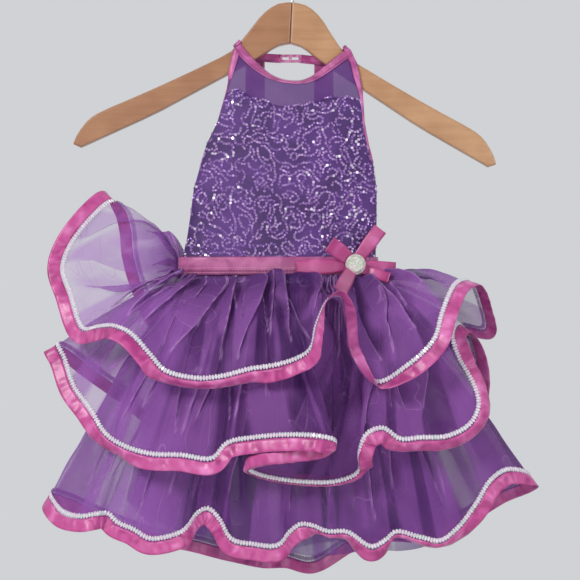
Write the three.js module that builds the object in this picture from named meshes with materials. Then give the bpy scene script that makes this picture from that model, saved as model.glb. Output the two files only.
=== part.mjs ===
// A girl's tutu dance dress on a wooden hanger: sequinned halter bodice, mesh yoke, elastic waistband with a ribbon
// bow, and three organza tiers with ribbon and braid hems over a net petticoat.
// Millimetres, +Z up, +X to the dress's right-hand side as seen from the front, front towards -Y.
// The origin is where a rail carries the hook, at the top of the hook's inside.
import * as THREE from "three";

// Driving sizes
const SEAM_GAP = 0.3;
const CLOTH = 1.0;
const TRIM = 1.0;
const BAND = 1.5;
const WOOD = 12;
const WOOD_BEVEL = 2;
const TILT = THREE.MathUtils.degToRad(-2.75);
const HOOK_WIRE = 3.6;
const HOOK_INNER = 19;
const RIBBON_WIDTH = 13;
const BRAID_WIDTH = 6;
const BINDING_WIDTH = 8.5;
const BACK_STRAP_WIDTH = 20;
const BACK_BAND_WIDTH = 9;
const ARMHOLE_BINDING = 3;
const BUTTON_RADIUS = 10.5;
const BUTTON_HEIGHT = 5;
const WAIST = { centre: -17.3, halfWidth: 102.5, halfDepth: 18.5, edge: 0.8, bandTop: -328, bandBottom: -347 };
const BODICE_BOTTOM = -377;
const BACK_TOP = { side: -240, middle: -262 };
// How far each piece stands off what it lies on, from middle of cloth to middle of cloth.
const BAND_OUT = CLOTH / 2 + SEAM_GAP + BAND / 2 + 0.4;
const SKIRT_OUT = CLOTH + SEAM_GAP + 0.3;
const TRIM_OUT = CLOTH / 2 + SEAM_GAP + TRIM / 2 + 0.3;
const BOW_OUT = 1.2;
const BOW_STEP = TRIM + SEAM_GAP + 0.25;
const BOW_SLOPE = 0.24;
const BUTTON_OUT = 8.5;
const BACK_Y = WOOD / 2 + 3.4;
const STRAP_RISE = 2.6;

// Bodice sections, top to bottom. left, right: the side edges; edge: how far the front's edge stands forward of the
// middle plane; middle: how far the front's middle does; back: how far the back's middle stands behind it.
const BODICE_COLUMNS = ["z", "left", "right", "edge", "middle", "back"];
const BODICE = [
  [-96, -60, 50, 8.4, 9, 9],
  [-125, -66, 64, 8.4, 9.4, 9],
  [-155, -72, 70, 8.4, 10.5, 9],
  [-187, -81, 72, 7.5, 12, 9],
  [-211, -93, 77, 4, 13.5, 10],
  [-233, -99.5, 83, 0.8, 15, 11],
  [-256, -106, 86, 0.8, 16, 12],
  [-287, -110, 86, 0.8, 17, 14],
  [-307, -113, 85.5, 0.8, 17.5, 15],
  [-325, -117, 85, 0.8, 18.5, 17],
  [-333, -119.8, 85.2, 0.8, 18.5, 18.5],
  [-377, -119.8, 85.2, 0.8, 18.5, 18.5],
];

// Lower edge of the neckline binding, and the line where the yoke meets the sequinned cloth.
const LINE_COLUMNS = ["x", "z"];
const NECKLINE = [
  [-62, -109],
  [-53, -120],
  [-38, -133],
  [-23, -141],
  [-8, -144.5],
  [9, -145],
  [22, -141],
  [32, -135],
  [42, -128],
  [56, -118],
];
const SEQUIN_TOP = [
  [-71.5, -156],
  [-58, -152.5],
  [-46, -160],
  [-33, -164],
  [-18, -169.5],
  [-3, -170],
  [12, -168],
  [24, -165],
  [38, -161],
  [52, -160.5],
  [69.5, -162],
];

// Hem folds in order round the body, from its left side through the front. at: place round the waist seam, in
// hundredths, 0 at the left side and 25 at the front; x, y, z: the braid there; bow: how far the cloth between seam
// and braid springs out of the straight; curl: degrees by which the ribbon below the braid tucks under.
const HEM_COLUMNS = ["at", "x", "y", "z", "bow", "curl"];
const TIER_1_HEM = [
  [0, -243, -26, -340, 12, 0],
  [1, -232, -40, -369, 12, 0],
  [3, -215, -62, -404, 12, 20],
  [5, -197, -76, -402, 12, 30],
  [7, -180, -88, -401, 12, 0],
  [9, -163, -96, -408, 12, 0],
  [11.5, -143, -100, -429, 12, 0],
  [13.5, -129, -99, -444, 12, 50],
  [16.5, -97, -98, -452, 12, 60],
  [19, -72, -100, -450, 12, 50],
  [22, -44, -98, -443, 12, 0],
  [24.5, -23, -100, -440, 12, 0],
  [27, 1, -106, -433, 12, 0],
  [29, 15, -114, -423, 12, 30],
  [30.8, 22, -120, -397, 4, 30],
  [32.4, 32, -128, -373, -8, 0],
  [33.8, 42, -126, -370, -10, 0],
  [34.9, 48, -112, -395, 4, 0],
  [36, 54, -96, -427, 12, 0],
  [39, 81, -84, -457, 12, 0],
  [42, 113, -92, -439, 12, 0],
  [44.5, 139, -88, -414, 12, 0],
  [46, 149, -76, -387, 12, 0],
  [48, 164, -58, -359, 12, 0],
  [50, 180, -38, -355, 10, 0],
  [52, 195, -12, -381, 12, 0],
  [54, 201, 10, -405, 12, 0],
  [57, 180, 26, -403, 12, 0],
  [61, 141, 38, -430, 10, 0],
  [66, 93, 46, -441, 10, 0],
  [71, 44, 44, -432, 10, 0],
  [76, -5, 52, -443, 10, 0],
  [80, -54, 48, -433, 10, 0],
  [84.5, -103, 50, -430, 10, 0],
  [87.5, -144, 48, -402, 12, 0],
  [90.5, -164, 40, -362, 12, 0],
  [93.4, -174, 34, -327, 14, 0],
  [95.2, -176, 26, -298, 16, 0],
  [96.6, -181, 18, -279, 18, 0],
  [97.8, -195, 4, -268, 18, 0],
  [98.8, -214, -10, -284, 17, 0],
  [99.4, -236, -19, -315, 14, 0],
];
const TIER_2_HEM = [
  [0, -246, -34, -421, 8, 0],
  [1.5, -238, -40, -435, 8, 0],
  [3.5, -226, -52, -463, 8, 0],
  [5.5, -207, -66, -485, 8, 0],
  [8, -191, -74, -508, 8, 50],
  [10.5, -172, -80, -520, 8, 70],
  [13, -144, -84, -528, 8, 0],
  [15.5, -114, -86, -529, 8, 0],
  [18, -82, -88, -532, 8, 0],
  [20, -67, -88, -517, 8, 0],
  [22, -41, -94, -511, 8, 0],
  [23.5, -7, -105, -507, 8, 0],
  [25, 24, -117, -507, 8, 0],
  [26.8, 39, -114, -512, 8, 0],
  [28.2, 30, -108, -524, 6, 0],
  [30.4, 1, -100, -530, 6, 0],
  [32.2, -30, -98, -534, 6, 0],
  [34, -48, -88, -541, 6, -20],
  [35.6, -32, -77, -550, 6, -60],
  [37, 8, -73, -557, 6, -105],
  [38.3, 42, -76, -556, 6, -60],
  [39.5, 64, -84, -545, 6, 0],
  [40.6, 64, -94, -526, 8, 0],
  [41.7, 70, -94, -508, 8, 0],
  [42.7, 86, -89, -502, 8, 0],
  [43.7, 104, -86, -513, 8, 50],
  [44.8, 124, -84, -512, 8, 0],
  [46.2, 153, -78, -511, 8, 0],
  [47.4, 177, -70, -499, 8, 0],
  [48.4, 186, -66, -482, 8, 0],
  [49.3, 183, -60, -463, 8, 0],
  [50.1, 170, -50, -436, 8, 0],
  [51, 163, -39, -411, 8, 0],
  [52, 172, -20, -400, 8, 0],
  [53, 186, -3, -420, 8, 0],
  [54.5, 195, 14, -464, 8, 0],
  [56.5, 184, 27, -502, 8, 0],
  [61, 141, 38, -514, 6, 0],
  [67, 88, 48, -523, 6, 0],
  [72, 33, 40, -511, 6, 0],
  [77, -21, 50, -523, 6, 0],
  [82, -75, 40, -511, 6, 0],
  [87, -135, 44, -509, 6, 0],
  [92, -182, 26, -472, 8, 0],
  [96, -215, 6, -445, 8, 0],
  [98.5, -237, -14, -425, 8, 0],
];
const TIER_3_HEM = [
  [0, -250, -40, -578, 5, 0],
  [2.5, -235, -54, -591, 5, 0],
  [5, -213, -66, -593, 5, 0],
  [6.7, -200, -68, -590, 5, 0],
  [8, -190, -60, -591, 5, 0],
  [9.3, -180, -60, -600, 5, 0],
  [11.3, -163, -66, -606, 5, 0],
  [13.5, -146, -68, -615, 5, 0],
  [15.8, -116, -68, -609, 5, 0],
  [17.2, -110, -65, -604, 5, 0],
  [18.4, -101, -56, -592, 5, 0],
  [19.6, -89, -48, -588, 5, 0],
  [20.8, -76, -49, -600, 5, 0],
  [22, -64, -56, -618, 5, 0],
  [24, -43, -60, -622, 5, 0],
  [25.8, -18, -62, -623, 5, 0],
  [26.9, -7, -54, -612, 5, 0],
  [28, 5, -50, -604, 5, 0],
  [29.2, 18, -55, -604, 5, 0],
  [30.8, 33, -60, -609, 5, 0],
  [33, 53, -64, -609, 5, 0],
  [35.5, 77, -68, -623, 5, 0],
  [37.5, 91, -66, -617, 5, 0],
  [39.5, 102, -62, -609, 5, 0],
  [42, 126, -64, -614, 5, 50],
  [44, 147, -62, -618, 5, 60],
  [46, 166, -58, -605, 5, 50],
  [47.3, 186, -49, -582, 5, 0],
  [48.3, 201, -40, -561, 5, 0],
  [49.4, 221, -27, -551, 5, 0],
  [50.7, 246, -10, -558, 5, 0],
  [52.2, 242, 8, -567, 5, 0],
  [54.2, 220, 22, -579, 5, 0],
  [57.5, 181, 32, -605, 5, 0],
  [61, 141, 38, -623, 5, 0],
  [65, 98, 44, -624, 5, 0],
  [69, 60, 38, -634, 5, 0],
  [72.5, 18, 38, -657, 5, 0],
  [76, -9, 46, -653, 5, 0],
  [79, -35, 38, -651, 5, 0],
  [82.5, -68, 46, -646, 5, 0],
  [86.5, -108, 38, -634, 5, 0],
  [90.5, -152, 42, -626, 5, 0],
  [94.5, -199, 32, -607, 5, 0],
  [97.5, -239, 2, -582, 5, 0],
  [99, -252, -22, -574, 5, 0],
];
const PETTICOAT_HEM = [
  [0, -176, -14, -581, 2, 0],
  [6, -147, -30, -605, 2, 0],
  [12, -107, -28, -613, 2, 0],
  [18, -64, -34, -623, 2, 0],
  [24, -20, -32, -629, 2, 0],
  [29, 17, -36, -636, 2, 0],
  [33, 46, -34, -635, 2, 0],
  [37, 78, -38, -629, 2, 0],
  [41, 110, -34, -631, 2, 0],
  [45, 138, -28, -626, 2, 0],
  [49, 157, -14, -612, 2, 0],
  [54, 158, 2, -608, 2, 0],
  [60, 124, 12, -628, 2, 0],
  [66, 81, 18, -627, 2, 0],
  [72, 33, 14, -631, 2, 0],
  [78, -16, 20, -640, 2, 0],
  [84, -67, 14, -633, 2, 0],
  [90, -123, 16, -621, 2, 0],
  [96, -164, 4, -594, 2, 0],
];

// The second tier's rolled fold: how much lower down its cloth runs aside, by place round the waist.
const FOLD_COLUMNS = ["at", "extra"];
const TIER_2_FOLD = [[26.8, 0], [28.2, 0.7], [30.4, 1.4], [37, 1.4], [38.3, 0.8], [39.5, 0.14], [40.6, 0]];

// Each gathered layer. seam: height of its seam on the waist; stand: how far the seam stands off the layers below;
// lean: how late its folds run aside on their way down; perFold: columns of the wall to a fold of the hem;
// gather: depth of the gathers; fold: extra lean; trimmed: whether the hem has a ribbon and a braid.
const SKIRT_COLUMNS = ["name", "hem", "seam", "stand", "lean", "perFold", "gather", "fold", "trimmed"];
const SKIRT = [
  ["tier_1", TIER_1_HEM, -353, 2.4, 1.15, 2, 2.6, [], true],
  ["tier_2", TIER_2_HEM, -356, 1.9, 1.4, 2, 1.2, TIER_2_FOLD, true],
  ["tier_3", TIER_3_HEM, -359, 1.2, 1.3, 2, 1.8, [], true],
  ["petticoat", PETTICOAT_HEM, -362, 0, 1, 3, 1.0, [], false],
];
// Rows of a layer's wall between seam and braid, as shares of the way down, and the share of the gathers at each.
const BODY_ROWS = [0, 0.22, 0.6];
const GATHER_AT_ROW = [0.05, 1, 0.35];

// Half the hanger's outline, from the middle out along the top and back along the underside. out: away from the
// middle; down: below the hook's bearing point.
const HANGER_TOP = [
  [0, 60], [16, 63], [31, 75], [44, 93], [57, 109.5], [73, 122],
  [143, 159], [192, 183], [208, 194], [219, 210], [222.5, 220],
];
const HANGER_UNDERSIDE = [[215, 223], [143, 186], [109, 166], [57, 135], [33, 120], [14, 107], [0, 103]];

// Bow tails and loops, from the button's middle: where each strip starts and ends, its width there and at its end,
// its place in the stack from the waistband out, and how far its free end leans forward.
const BOW_COLUMNS = ["name", "x0", "z0", "x1", "z1", "w0", "w1", "level", "lean"];
const BOW = [
  ["bow_tail_left", -3, -1, -62, -4, 11, 16, 0, 1],
  ["bow_tail_right", 3, 0, 43, -3, 9, 11, 0, 1],
  ["bow_loop_upper_left", -2, 3, -23, 22, 12, 15, 1, 5],
  ["bow_loop_lower_right", 2, -3, 34, -14, 9, 11, 1, 26],
  ["bow_tail_upper_right", 1, 3, 26, 37, 11, 15, 2, 8],
  ["bow_tail_lower_left", -2, -3, -18, -28, 11, 15, 2, 64],
];
const BOW_CENTRE = { x: 63, z: -336 };

// Where the binding crosses the hanger's top edge: the middle of the crossing, the wood's slope there in degrees,
// and how far each end hangs down in front and behind.
const STRAP_COLUMNS = ["name", "x", "z", "slope", "front", "rear"];
const STRAPS = [
  ["neck_strap_left", -59.5, -104.5, 44, 1.2, 11],
  ["neck_strap_right", 54, -110, -44, 1.2, 11],
];

// The two halves of the back neck band, each from its right end to its left end, with the clasp between them.
const BACK_BAND_COLUMNS = ["name", "x0", "z0", "x1", "z1"];
const BACK_BANDS = [
  ["neck_band_back_left", -16.8, -117, -60, -113],
  ["neck_band_back_right", 56, -121, 7.8, -117],
];
const CLASP = { x: -4.5, z: -117, width: 24, height: 8.5, depth: 3.6 };
const BACK_STRAP_COLUMNS = ["name", "x", "top", "bottom"];
const BACK_STRAPS = [
  ["back_strap_left", -42, -114, -268],
  ["back_strap_right", 31, -116, -268],
];

const group = new THREE.Group();

function table(columns, rows) {
  return rows.map((row) => Object.fromEntries(columns.map((column, i) => [column, row[i]])));
}

function finish(name, geometry, colour, roughness, metalness = 0) {
  const material = new THREE.MeshStandardMaterial({ color: colour, roughness, metalness });
  const mesh = new THREE.Mesh(geometry, material);
  mesh.name = name;
  group.add(mesh);
  return mesh;
}

// Outward direction at each point of a grid whose columns run left to right across the front and rows run down.
function gridNormals(grid, closed) {
  const last = grid.length - 1;
  return grid.map((row, r) => row.map((point, c) => {
    const n = row.length;
    const before = closed ? row[(c + n - 1) % n] : row[Math.max(c - 1, 0)];
    const after = closed ? row[(c + 1) % n] : row[Math.min(c + 1, n - 1)];
    const across = new THREE.Vector3().subVectors(after, before);
    const down = new THREE.Vector3().subVectors(grid[Math.min(r + 1, last)][c], grid[Math.max(r - 1, 0)][c]);
    return down.cross(across).normalize();
  }));
}

// A closed wall between two grids of the same size, the outer and the inner face.
function wallBetween(outer, inner, closed) {
  const rows = outer.length;
  const columns = outer[0].length;
  const positions = [...outer, ...inner].flat().flatMap((p) => p.toArray());
  const index = [];
  const outerAt = (r, c) => r * columns + (c % columns);
  const innerAt = (r, c) => rows * columns + outerAt(r, c);
  const spans = closed ? columns : columns - 1;
  for (let r = 0; r < rows - 1; r++) {
    for (let c = 0; c < spans; c++) {
      index.push(outerAt(r, c), outerAt(r + 1, c), outerAt(r + 1, c + 1));
      index.push(outerAt(r, c), outerAt(r + 1, c + 1), outerAt(r, c + 1));
      index.push(innerAt(r, c), innerAt(r + 1, c + 1), innerAt(r + 1, c));
      index.push(innerAt(r, c), innerAt(r, c + 1), innerAt(r + 1, c + 1));
    }
  }
  for (let c = 0; c < spans; c++) {
    const bottom = rows - 1;
    index.push(outerAt(0, c), outerAt(0, c + 1), innerAt(0, c + 1));
    index.push(outerAt(0, c), innerAt(0, c + 1), innerAt(0, c));
    index.push(outerAt(bottom, c + 1), outerAt(bottom, c), innerAt(bottom, c));
    index.push(outerAt(bottom, c + 1), innerAt(bottom, c), innerAt(bottom, c + 1));
  }
  if (!closed) {
    const end = columns - 1;
    for (let r = 0; r < rows - 1; r++) {
      index.push(outerAt(r + 1, 0), outerAt(r, 0), innerAt(r, 0));
      index.push(outerAt(r + 1, 0), innerAt(r, 0), innerAt(r + 1, 0));
      index.push(outerAt(r, end), outerAt(r + 1, end), innerAt(r + 1, end));
      index.push(outerAt(r, end), innerAt(r + 1, end), innerAt(r, end));
    }
  }
  const geometry = new THREE.BufferGeometry();
  geometry.setAttribute("position", new THREE.Float32BufferAttribute(positions, 3));
  geometry.setIndex(index);
  return geometry;
}

function moved(grid, normals, distance) {
  return grid.map((row, r) => row.map((p, c) => p.clone().addScaledVector(normals[r][c], distance)));
}

// A wall of cloth whose middle lies `offset` outside the grid.
function cloth(grid, { thickness = CLOTH, offset = 0, closed = false, normals = gridNormals(grid, closed) } = {}) {
  const outer = moved(grid, normals, offset + thickness / 2);
  const inner = moved(grid, normals, offset - thickness / 2);
  return wallBetween(outer, inner, closed);
}

function lineThrough(rows, count) {
  const curve = new THREE.CatmullRomCurve3(rows.map(([x, z]) => new THREE.Vector3(x, 0, z)), false, "centripetal");
  return curve.getSpacedPoints(count - 1);
}

// Bodice
const bodiceRows = table(BODICE_COLUMNS, BODICE);

function sectionAt(z) {
  let i = 1;
  while (i < bodiceRows.length - 1 && bodiceRows[i].z > z) i++;
  const [a, b] = [bodiceRows[i - 1], bodiceRows[i]];
  const t = THREE.MathUtils.clamp((z - a.z) / (b.z - a.z), 0, 1);
  return Object.fromEntries(BODICE_COLUMNS.map((column) => [column, THREE.MathUtils.lerp(a[column], b[column], t)]));
}

function frontPoint(x, z, out = 0) {
  const s = sectionAt(z);
  const across = THREE.MathUtils.clamp((2 * x - s.left - s.right) / (s.right - s.left), -1, 1);
  const y = s.edge + (s.middle - s.edge) * Math.sqrt(1 - across * across);
  return new THREE.Vector3(x, -y - out, z);
}

// Point of the front panel (side -1) or the back panel (side 1) at height z; turn runs from 0 at the left edge to 1.
function bodicePoint(side, turn, z) {
  const s = sectionAt(z);
  const middle = side < 0 ? s.middle : s.back;
  const x = (s.left + s.right) / 2 - ((s.right - s.left) / 2) * Math.cos(turn * Math.PI);
  return new THREE.Vector3(x, side * (s.edge + (middle - s.edge) * Math.sin(turn * Math.PI)), z);
}

const PANEL_COLUMNS = 25;
const PANEL_HEIGHTS = [-187, -211, -233, -256, -287, -307, -325, -333, -352, BODICE_BOTTOM];
const sequinTop = lineThrough(SEQUIN_TOP, PANEL_COLUMNS);
const turns = sequinTop.map((_, i) => i / (PANEL_COLUMNS - 1));
const frontGrid = [
  sequinTop.map((p) => frontPoint(p.x, p.z - SEAM_GAP)),
  ...PANEL_HEIGHTS.map((z) => turns.map((turn) => bodicePoint(-1, turn, z))),
];
finish("bodice_front", cloth(frontGrid), 0x5a3580, 0.5);

const backTopAt = (turn) => THREE.MathUtils.lerp(BACK_TOP.side, BACK_TOP.middle, Math.sin(turn * Math.PI));
const fromRight = turns.map((turn) => 1 - turn);
const backGrid = [
  fromRight.map((turn) => bodicePoint(1, turn, backTopAt(turn))),
  ...PANEL_HEIGHTS.slice(4).map((z) => fromRight.map((turn) => bodicePoint(1, turn, z))),
];
finish("bodice_back", cloth(backGrid), 0x5a3580, 0.5);

// Yoke, from the sequinned cloth's top up to the neckline
const necklineBottom = lineThrough(NECKLINE, PANEL_COLUMNS);
const YOKE_ROWS = [0, 0.33, 0.66, 1];
const yokeGrid = YOKE_ROWS.map((share) => necklineBottom.map((top, i) => {
  const bottom = sequinTop[i];
  const x = THREE.MathUtils.lerp(top.x, bottom.x, share);
  return frontPoint(x, THREE.MathUtils.lerp(top.z, bottom.z, share));
}));
finish("yoke", cloth(yokeGrid), 0x74487f, 0.6);

// Neckline binding, above the yoke's top edge
const bindingGrid = [1, 0].map((share) => necklineBottom.map((p, i) => {
  const tangent = new THREE.Vector3().subVectors(
    necklineBottom[Math.min(i + 1, PANEL_COLUMNS - 1)], necklineBottom[Math.max(i - 1, 0)]).normalize();
  const up = new THREE.Vector3(-tangent.z, 0, tangent.x);
  const point = p.clone().addScaledVector(up, SEAM_GAP + BINDING_WIDTH * share);
  return frontPoint(point.x, point.z);
}));
finish("neck_binding_front", cloth(bindingGrid, { thickness: BAND }), 0xc869a0, 0.6);

// Armhole bindings, down the free edges of the yoke and the bodice to the side seams
const ARMHOLE_HEIGHTS = [-122, -135, -150, -165, -187, -211, -229];
for (const [name, side] of [["armhole_binding_left", -1], ["armhole_binding_right", 1]]) {
  const rows = ARMHOLE_HEIGHTS.map((z) => {
    const s = sectionAt(z);
    const edge = side < 0 ? s.left : s.right;
    const near = edge + side * (CLOTH / 2 + SEAM_GAP);
    const ends = [near, near + side * ARMHOLE_BINDING].sort((a, b) => a - b);
    return ends.map((x) => new THREE.Vector3(x, -s.edge, z));
  });
  finish(name, cloth(rows, { thickness: BAND }), 0xc869a0, 0.6);
}

// Strap stubs, where the binding crosses over the wood at each shoulder
for (const strap of table(STRAP_COLUMNS, STRAPS)) {
  const slope = THREE.MathUtils.degToRad(strap.slope);
  const along = new THREE.Vector3(Math.cos(slope), 0, Math.sin(slope));
  const up = new THREE.Vector3(-along.z, 0, along.x);
  const reach = WOOD / 2 + BAND_OUT - CLOTH / 2;
  const path = [
    [-reach, -strap.front], [-reach, 0.4], [-reach + 1.5, STRAP_RISE - 1], [-reach / 2, STRAP_RISE],
    [reach / 2, STRAP_RISE], [reach - 1.5, STRAP_RISE - 1], [reach, -1], [reach, -strap.rear],
  ];
  const rows = path.map(([y, height]) => [-1, 1].map((end) => new THREE.Vector3(strap.x, y, strap.z)
    .addScaledVector(up, height).addScaledVector(along, (end * BINDING_WIDTH) / 2)));
  rows.reverse();
  finish(strap.name, cloth(rows, { thickness: BAND }), 0xc869a0, 0.6);
}

// Back neck band, its clasp, and the two elastic back straps that hang from it to the back panel
const backPoint = (x, z, y = BACK_Y) => new THREE.Vector3(x, y, z);
for (const { name, x0, z0, x1, z1 } of table(BACK_BAND_COLUMNS, BACK_BANDS)) {
  const rows = [0.5, -0.5].map((share) => [0, 0.25, 0.5, 0.75, 1].map((t) => backPoint(
    THREE.MathUtils.lerp(x0, x1, t), THREE.MathUtils.lerp(z0, z1, t ** 1.5) + share * BACK_BAND_WIDTH)));
  finish(name, cloth(rows, { thickness: BAND }), 0xc869a0, 0.6);
}
for (const strap of table(BACK_STRAP_COLUMNS, BACK_STRAPS)) {
  const share = (strap.x - WAIST.centre + WAIST.halfWidth) / (2 * WAIST.halfWidth);
  const foot = sectionAt(strap.bottom);
  const turn = Math.acos(THREE.MathUtils.clamp(1 - 2 * share, -1, 1)) / Math.PI;
  const footY = bodicePoint(1, turn, strap.bottom).y + CLOTH + SEAM_GAP + BAND / 2 + foot.edge / 2;
  const rows = [0, 0.5, 1].map((t) => [0.5, -0.5].map((half) => backPoint(
    strap.x + half * BACK_STRAP_WIDTH, THREE.MathUtils.lerp(strap.top, strap.bottom, t),
    THREE.MathUtils.lerp(BACK_Y + BAND + SEAM_GAP, footY, t))));
  finish(strap.name, cloth(rows, { thickness: BAND }), 0xa04f8a, 0.6);
}
const clasp = finish("clasp", new THREE.BoxGeometry(CLASP.width, CLASP.depth, CLASP.height), 0xf0f0f4, 0.15);
clasp.position.set(CLASP.x, BACK_Y, CLASP.z);

// Waistband, an elastic band round the bodice
const BAND_COLUMNS = 48;
const bandTurns = Array.from({ length: BAND_COLUMNS }, (_, i) => (2 * i) / BAND_COLUMNS);
const waistPoint = (turn, z) => {
  const angle = turn * Math.PI;
  const x = WAIST.centre - WAIST.halfWidth * Math.cos(angle);
  const depth = WAIST.edge + (WAIST.halfDepth - WAIST.edge) * Math.abs(Math.sin(angle));
  return new THREE.Vector3(x, turn < 1 ? -depth : depth, z);
};
const bandGrid = [WAIST.bandTop, WAIST.bandBottom].map((z) => bandTurns.map((turn) => waistPoint(turn, z)));
finish("waistband", cloth(bandGrid, { thickness: BAND, offset: BAND_OUT, closed: true }), 0xc869a0, 0.6);

// Skirt layers
function hemCurve(rows, perFold) {
  const points = rows.map((row) => new THREE.Vector3(row.x, row.y, row.z));
  const curve = new THREE.CatmullRomCurve3(points, true, "centripetal");
  const count = rows.length * perFold;
  return Array.from({ length: count }, (_, i) => {
    const row = rows[Math.floor(i / perFold)];
    const next = rows[(Math.floor(i / perFold) + 1) % rows.length];
    const share = (i % perFold) / perFold;
    const nextAt = next.at < row.at ? next.at + 100 : next.at;
    return {
      braid: curve.getPoint(i / count),
      at: THREE.MathUtils.lerp(row.at, nextAt, share),
      bow: THREE.MathUtils.lerp(row.bow, next.bow, share),
      curl: THREE.MathUtils.degToRad(THREE.MathUtils.lerp(row.curl, next.curl, share)),
    };
  });
}


function foldLean(fold, at) {
  const i = fold.findIndex((row) => row.at > at);
  if (i < 1) return 0;
  const [a, b] = [fold[i - 1], fold[i]];
  return THREE.MathUtils.mapLinear(at, a.at, b.at, a.extra, b.extra);
}

function skirtGrid({ hem, seam, stand, lean, perFold, gather, fold }) {
  const folds = hemCurve(table(HEM_COLUMNS, hem), perFold);
  const foldRows = table(FOLD_COLUMNS, fold);
  const up = new THREE.Vector3(0, 0, 1);
  const columns = folds.map(({ braid, at, bow }) => {
    const turn = at / 50;
    const start = waistPoint(turn, seam);
    const outward = new THREE.Vector3(
      (start.x - WAIST.centre) / WAIST.halfWidth ** 2, start.y / WAIST.halfDepth ** 2, 0).normalize();
    start.addScaledVector(outward, SKIRT_OUT + stand);
    const run = new THREE.Vector3().subVectors(braid, start);
    const along = run.clone().normalize();
    const spring = up.clone().addScaledVector(outward, 0.3);
    spring.addScaledVector(along, -spring.dot(along)).normalize();
    const tangent = new THREE.Vector3(-outward.y, outward.x, 0);
    const sideways = run.dot(tangent);
    const rolled = 1 + (lean - 1) * Math.abs(outward.y) ** 8 + foldLean(foldRows, at);
    const pointAt = (share) => start.clone().addScaledVector(run, share)
      .addScaledVector(tangent, sideways * (share ** rolled - share))
      .addScaledVector(spring, bow * 4 * share * (1 - share));
    const points = BODY_ROWS.map(pointAt);
    points.push(pointAt(1 - BRAID_WIDTH / run.length()), braid);
    return points;
  });
  const edge = folds.map(({ braid, curl }, i) => {
    const before = folds[(i + folds.length - 2) % folds.length].braid;
    const after = folds[(i + 2) % folds.length].braid;
    const across = new THREE.Vector3().subVectors(after, before).normalize();
    const down = new THREE.Vector3().subVectors(braid, columns[i][columns[i].length - 2]);
    down.addScaledVector(across, -down.dot(across)).normalize();
    down.applyAxisAngle(across, curl);
    return braid.clone().addScaledVector(down, RIBBON_WIDTH);
  });
  const rowCount = columns[0].length;
  const grid = Array.from({ length: rowCount }, (_, r) => columns.map((column) => column[r]));
  const normals = gridNormals(grid, true);
  GATHER_AT_ROW.forEach((share, r) => grid[r].map((p, c) => {
    const room = p.distanceTo(grid[r][(c + 1) % grid[r].length]);
    return Math.min(gather * share, room / 5) * (c % 2 ? 1 : -1);
  }).forEach((depth, c) => grid[r][c].addScaledVector(normals[r][c], depth)));
  return [...grid, edge];
}

const between = (from, to, share) => from.map((p, c) => p.clone().lerp(to[c], share));

for (const layer of table(SKIRT_COLUMNS, SKIRT)) {
  const grid = skirtGrid(layer);
  const body = layer.trimmed ? grid : grid.slice(0, -1);
  const normals = gridNormals(grid, true);
  finish(layer.name, cloth(body, { closed: true, normals }), layer.trimmed ? 0xa57dbe : 0x7a4f9a, 0.7);
  if (!layer.trimmed) continue;
  const number = layer.name.slice(-1);
  const edgeRow = grid.length - 1;
  const [above, braid, edge] = [edgeRow - 2, edgeRow - 1, edgeRow];
  const trim = { thickness: TRIM, offset: TRIM_OUT, closed: true };
  const ribbonGrid = [between(grid[braid], grid[edge], 0.05), grid[edge]];
  const ribbonNormals = [between(normals[braid], normals[edge], 0.05), normals[edge]];
  finish(`ribbon_${number}`, cloth(ribbonGrid, { ...trim, normals: ribbonNormals }), 0xd0559f, 0.35);
  const braidGrid = [grid[above], between(grid[braid], grid[above], 0.08)];
  const braidNormals = [normals[above], between(normals[braid], normals[above], 0.08)];
  finish(`braid_${number}`, cloth(braidGrid, { ...trim, normals: braidNormals }), 0xdcdcec, 0.3);
}

// Bow: satin strips fanned round a button, stacked outward from the waistband
function bowBase(x, z) {
  const turnAt = (reach) => Math.sqrt(Math.max(1 - ((reach - WAIST.centre) / WAIST.halfWidth) ** 2, 0));
  const middle = WAIST.halfDepth * turnAt(BOW_CENTRE.x);
  const y = x < BOW_CENTRE.x ? WAIST.halfDepth * turnAt(x) : middle - BOW_SLOPE * (x - BOW_CENTRE.x);
  return new THREE.Vector3(x, -y - BAND_OUT - BAND / 2, z);
}
for (const strip of table(BOW_COLUMNS, BOW)) {
  const start = new THREE.Vector2(BOW_CENTRE.x + strip.x0, BOW_CENTRE.z + strip.z0);
  const end = new THREE.Vector2(BOW_CENTRE.x + strip.x1, BOW_CENTRE.z + strip.z1);
  const run = new THREE.Vector2().subVectors(end, start);
  const side = new THREE.Vector2(-run.y, run.x).normalize();
  const out = BOW_OUT + strip.level * BOW_STEP;
  const rows = [0.5, -0.5].map((half) => [0, 0.25, 0.5, 0.75, 1].map((t) => {
    const width = THREE.MathUtils.lerp(strip.w0, strip.w1, Math.min(1, t * 2));
    const point = start.clone().addScaledVector(run, t).addScaledVector(side, half * width);
    return bowBase(point.x, point.y).add(new THREE.Vector3(0, -out - strip.lean * t ** 2.4, 0));
  }));
  finish(strip.name, cloth(rows, { thickness: TRIM }), 0xd85fae, 0.35);
}
const buttonProfile = [
  [0, 0], [BUTTON_RADIUS, 0], [BUTTON_RADIUS, BUTTON_HEIGHT * 0.4],
  [BUTTON_RADIUS * 0.7, BUTTON_HEIGHT * 0.85], [0, BUTTON_HEIGHT],
].map(([radius, height]) => new THREE.Vector2(radius, height));
const button = finish("bow_button", new THREE.LatheGeometry(buttonProfile, 24), 0xcfe3d8, 0.25);
const buttonSeat = bowBase(BOW_CENTRE.x, BOW_CENTRE.z);
button.position.copy(buttonSeat).add(new THREE.Vector3(0, -BUTTON_OUT, 0));
button.rotation.x = Math.PI;

// Hanger: two arms glued at the middle, and a wire hook
const hanger = new THREE.Group();
hanger.rotation.y = -TILT;
group.add(hanger);

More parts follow.
